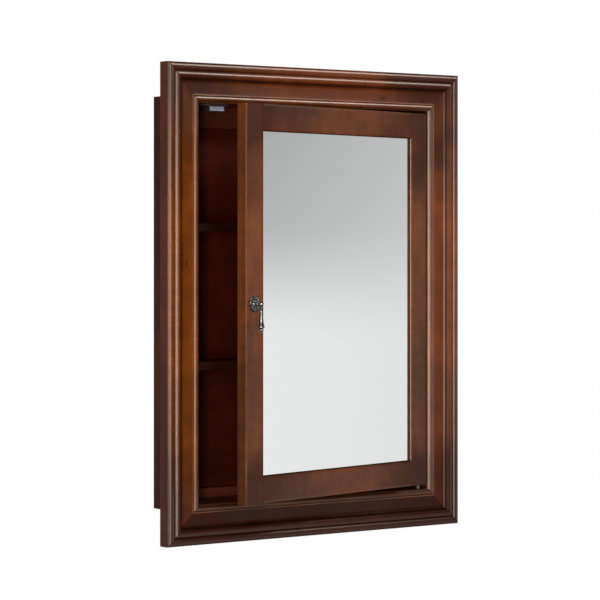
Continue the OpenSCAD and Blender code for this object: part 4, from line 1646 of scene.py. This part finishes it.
    def drop(self, door: Door) -> None:
        """Turns the drop: a slotted ball, a waisted shaft that flares, a ring and a finial.

        Args:
            door: The door that it hangs on.
        """
        end = self.drop_l
        ball = self.head_r
        outline: Outline = [(0.0, ball, 0.2)]
        outline += arc((0.0, 0.0), ball, 84, -42, 14, swell(0.4, 0.2))
        outline += bend((3.1, -3.5, -0.8), (2.5, -4.3), (2.8, -5.0, -0.9), 4)
        outline += arc((2.7, -6.0), 1.2, 80, -80, 7, swell(0.7))
        outline += bend((2.75, -7.3, -1.0), (2.6, -8.2), (3.1, -9.4, -0.2), 4)
        outline += [(3.25, -12.0, -0.3), (3.2, -15.0, -0.25)]
        outline += [(radius, height - end, wear_and_painted_light) for radius, height, wear_and_painted_light in (
            (3.15, 35.0, -0.25), (3.3, 31.0, -0.2), (3.7, 25.0, -0.2), (4.15, 20.5, -0.15),
            (4.75, 16.6, -0.1), (5.4, 13.6, 0.0), (5.85, 11.8, 0.3), (5.95, 10.9, 0.3),
            (5.75, 10.0, 0.1))]
        outline += bend((5.4, 9.5 - end, 0.1), (3.5, 9.2 - end), (3.4, 8.1 - end, -1.0), 5)
        outline += arc((3.4, 6.3 - end), 1.35, 78, -78, 9, swell(0.8))
        outline += bend((3.1, 4.9 - end, -0.8), (1.9, 4.4 - end), (1.75, 3.4 - end, -1.0), 4)
        outline += arc((0.0, 1.95 - end), 1.95, 40, -84, 10, lambda share: 0.1 + 0.5 * share)
        outline += [(0.0, -end, 0.5)]
        blank = Blank()
        still = Matrix.Identity(4)
        revolve(blank, outline, still, 56)
        piece = blank.build("drop_handle", PULL_CREASE)
        half = self.slot_w / 2
        carve(piece, box(still, (-half, half), (-10.0, 10.0), (-self.slot_drop, ball * 2)))
        across = Matrix.Rotation(math.radians(90), 4, "Y")
        carve(piece, rod(across, self.pin_bore, (-9.0, 9.0), 24))
        hanging = Matrix.Rotation(math.radians(-90), 4, "X")
        piece.data.transform(
            self.on_door(door) @ Matrix.Translation((0.0, 0.0, self.out * MM)) @ hanging)
        settle(piece.data, PULL_CREASE)
        fit(piece, Body.DROP, Slot.PEWTER, "pull_drop", PEWTER)

    def build(self, door: Door) -> None:
        """Makes the rosette, the post and the drop.

        Args:
            door: The door that it belongs to.
        """
        self.rosette(door)
        self.post(door)
        self.drop(door)


@dataclass
class Carcase:
    """The box behind the frame, its shelves and the rails that screw to the wall."""

    arris: float = 0.5

    def build(self) -> None:
        """Eases the arrises of each board and stains it along its own grain; the shelves and the
        back panel also carry painted shade.
        """
        upright = BoxWood("box_side_stain", "472112", "37170c", "1f0c07")
        across = BoxWood("box_level_stain", "5a2c1a", "472013", "2a120b", axis=GrainAxis.ACROSS)
        # The shelves' stain is far darker than the box's: painted shade of the cabinet's inside.
        shelf = BoxWood("shelf_stain_and_shade", "2a0e04", "210903", "150502", axis=GrainAxis.ACROSS,
                        roughness=0.5, lacquer=0.05)
        # The back panel's dark red is partly its own colour and partly painted shade of the
        # cabinet's inside.
        back = BoxWood("back_panel_stain_and_shade", "3d0e03", "3a0f04", "2e0c03", rings=0.3,
                       roughness=0.6, lacquer=0.0)
        for finish, nodes in (
            (upright, ("left_side", "right_side")),
            (across, ("top_panel", "bottom_panel", "hanging_rail", "bottom_cleat")),
            (shelf, ("upper_shelf", "lower_shelf")),
            (back, ("back_panel",)),
        ):
            for node in nodes:
                piece = softened(node, f"{node}_board", self.arris)
                fit(piece, Body.CABINET, Slot.BOX_WOOD, node, finish)
        refinish(RawWood("raw_beech", "d9b48a", "c79c70", "9a6f48"), "mitre_splines",
                 "frame_dowels", "box_dowels", "door_dowels")
        refinish(ZINC, "back_brads", "upper_shelf_pins", "lower_shelf_pins")


@dataclass
class Hardware:
    """Hinges, catch, clips and screws."""

    plate_ease: float = 0.3
    clip_ease: float = 0.25
    housing_ease: float = 0.6

    def build(self) -> None:
        """Eases the plates and the housing, and plates or moulds every part."""
        for end in ("top", "bottom"):
            for kind, body in (("pin_plate", Body.CABINET), ("door_plate", Body.DOOR)):
                node = f"{end}_hinge_{kind}"
                piece = softened(node, f"{node}_eased", self.plate_ease)
                fit(piece, body, Slot.BRASS, node, BRASS)
        # The housing's dark colour is painted shade, for the shade that it sits in under the top
        # rail.
        fit(softened("catch_housing", "catch_body", self.housing_ease, 3), Body.CABINET,
            Slot.PLASTIC, "catch_housing", Moulded("nylon_darkened_as_shade", "3a302c", "2e2623"))
        for node, width in (("strike_plate", self.plate_ease), ("mirror_clips", self.clip_ease)):
            fit(softened(node, f"{node}_eased", width), Body.DOOR, Slot.ZINC, node, ZINC)
        refinish(Moulded("washer_nylon", "241b15", "1a1410"), "hinge_washer")
        refinish(Hardboard("mirror_board"), "mirror_backing")
        refinish(FERRITE, "catch_magnet", "catch_pole_plates")
        refinish(BRASS, "frame_hinge_screws", "door_hinge_screws", "catch_screws")
        refinish(ZINC, "mirror_clip_screws", "strike_screw", "pull_screw")
        refinish(PEWTER, "pull_pin")


# ---------------------------------------------------------------- studio

WARM: Place = (1.0, 0.86, 0.76)


@dataclass
class Lamp:
    """A soft box: its place, what it points at, its size in metres and its brightness."""

    name: str
    place: Place
    target: Place
    width: float
    height: float
    radiance: float
    colour: Place = (1.0, 1.0, 1.0)
    spread: float = 180.0

    def build(self) -> None:
        """Adds the lamp, with its power worked out from its brightness and its area."""
        light = bpy.data.lights.new(self.name, "AREA")
        light.shape, light.size, light.size_y = "RECTANGLE", self.width, self.height
        light.energy = self.radiance * math.pi * self.width * self.height
        light.color = self.colour
        light.spread = math.radians(self.spread)
        made = link(self.name, light)
        way = Vector(self.target) - Vector(self.place)
        turn = way.to_track_quat("-Z", "Y").to_matrix().to_4x4()
        made.matrix_world = Matrix.Translation(self.place) @ turn
        made.visible_camera = False


@dataclass
class Studio:
    """The camera, the lamps, the white surroundings and a pale floor."""

    camera_place: Place = (-2.92935, -3.99639, 0.10777)
    camera_turn: float = -36.75
    lens: float = 154.2
    shift: Tuple[float, float] = (-0.0008, -0.0922)
    floor_z: float = -1.2
    floor_r: float = 2.5
    floor_grey: float = 0.82
    ambient: float = 0.27
    level: Tuple[float, float] = (0.52, 0.38)  # the room's brightness, level and a little above
    low_lift: float = 0.36  # what is added below level
    bright_way: Place = (0.4517, 0.8922, 0.0)  # square to the way in which the room brightens
    dim_from: Tuple[float, float] = (-15.0, 10.0)  # degrees round, over which a dim part starts
    dim_to: Tuple[float, float] = (50.0, 45.0)  # and over which it ends
    dimmed: float = 0.2
    behind_from: Tuple[float, float] = (80.0, 105.0)
    behind: float = 0.45  # brightness of the half of the room behind the wall
    overhead: float = 0.4  # brightness well above and below level
    lamps: Tuple[Lamp, ...] = (
        Lamp("front_box", (-1.3, -5.2, -0.1), (0.0, -0.13, -0.1), 1.2, 2.6, 11.5, WARM),
        Lamp("left_strip", (-1.86, -2.1, -0.03), (0.0, -0.13, -0.03), 0.3, 1.5, 29.0, WARM),
        Lamp("top_bar", (1.45, -1.95, 1.6), (0.0, -0.13, 0.85), 1.2, 0.6, 3.2, WARM, 60.0),
        Lamp("left_fill", (-3.2, -1.5, 0.5), (0.0, -0.13, 0.0), 1.2, 1.6, 2.5),
    )

    def camera(self) -> None:
        """Places a level camera to the left of the cabinet."""
        lens = bpy.data.cameras.new("camera")
        lens.lens, lens.sensor_width = self.lens, 36.0
        lens.shift_x, lens.shift_y = self.shift
        lens.clip_start, lens.clip_end = 0.1, 60.0
        made = link("camera", lens)
        made.location = self.camera_place
        made.rotation_euler = (math.radians(90), 0.0, math.radians(self.camera_turn))
        bpy.context.scene.camera = made

    def room(self, w: Wiring) -> Socket:
        """Works out how bright the room looks each way, as gloss sees it.

        Args:
            w: The wiring of the world's tree.

        Returns:
            The brightness.
        """
        way = w.place("Generated")
        height = w.split(way)[2]
        low = w.remap(height, 0.012, -0.040)  # 1 below the horizon
        shade = w.plus(w.remap(height, 0.0, 0.09, *self.level, "LINEAR"),
                       w.times(low, self.low_lift))
        level_way = w.vector("NORMALIZE", w.stretch(way, FLAT))
        across = w.remap(w.vector("DOT_PRODUCT", level_way, self.bright_way, output=1),
                         -0.01, 0.038, 0.0, 1.0, "LINEAR")
        lift = w.times(across, w.remap(low, 0.0, 1.0, 0.10, -0.05, "LINEAR"))
        shade = w.plus(shade, lift)
        right, back, _ = w.split(level_way)
        turn = w.math("ARCTAN2", right, w.times(back, -1.0))  # 0 straight ahead of the door
        dim = w.times(*(w.remap(turn, *map(math.radians, span))
                        for span in (self.dim_from, self.dim_to)))
        shade = w.times(shade, w.remap(dim, 0.0, 1.0, 1.0, self.dimmed, "LINEAR"))
        behind = w.remap(w.math("ABSOLUTE", turn), *map(math.radians, self.behind_from), 1.0,
                         self.behind)
        belt = w.remap(w.math("ABSOLUTE", height), 0.12, 0.28, 1.0, self.overhead)
        return w.times(shade, w.times(behind, belt))

    def surroundings(self) -> None:
        """White to the camera, a graded pale room to gloss, and soft fill to everything else."""
        world = bpy.data.worlds.new("studio")
        bpy.context.scene.world = world
        w = cleared(world)
        path = w.node("ShaderNodeLightPath").outputs
        gloss = w.math("MAXIMUM", path["Is Glossy Ray"], path["Is Transmission Ray"])
        level = w.blend(path["Is Camera Ray"], w.blend(gloss, self.ambient, self.room(w)), 1.0)
        glow = w.node("ShaderNodeBackground", {"Color": WHITE, "Strength": level})
        w.node("ShaderNodeOutputWorld", {"Surface": glow.outputs[0]})

    def floor(self) -> None:
        """Lays a pale disc under the cabinet that fades into the white at its rim."""
        blank = Blank()
        centre = blank.point(Vector((0.0, 0.0, self.floor_z)))
        rim = [blank.point(polar(self.floor_r, turn, self.floor_z)) for turn in turns(96)]
        for this, after in zip(rim, rim[1:] + rim[:1]):
            blank.face((centre, this, after))
        disc = blank.build("studio_floor")
        paint = bpy.data.materials.new("floor_paint")
        w = cleared(paint)
        away = w.vector("LENGTH", w.stretch(w.place(), FLAT), output=1)
        share = w.remap(away, self.floor_r * 0.45, self.floor_r * 0.98)
        matt = w.node("ShaderNodeBsdfDiffuse", {"Color": (*[self.floor_grey] * 3, 1.0)})
        white = w.node("ShaderNodeEmission", {"Color": WHITE, "Strength": 1.0})
        seen = w.times(share, w.node("ShaderNodeLightPath").outputs["Is Camera Ray"])
        surface = w.node("ShaderNodeMixShader",
                         {0: seen, 1: matt.outputs[0], 2: white.outputs[0]})
        w.node("ShaderNodeOutputMaterial", {"Surface": surface.outputs[0]})
        disc.data.materials.append(paint)

    def build(self) -> None:
        """Sets up the camera, the surroundings, the floor and the lamps."""
        bpy.context.scene.view_settings.view_transform = "Standard"
        self.camera()
        self.surroundings()
        self.floor()
        for lamp in self.lamps:
            lamp.build()


def main() -> None:
    """Builds the studio and each sub-assembly."""
    logging.basicConfig(level=logging.INFO, format="%(name)s: %(message)s")
    Studio().build()
    FaceFrame().build()
    Carcase().build()
    door = Door()
    door.build()
    Pull().build(door)
    Hardware().build()


if __name__ == "__main__":
    main()
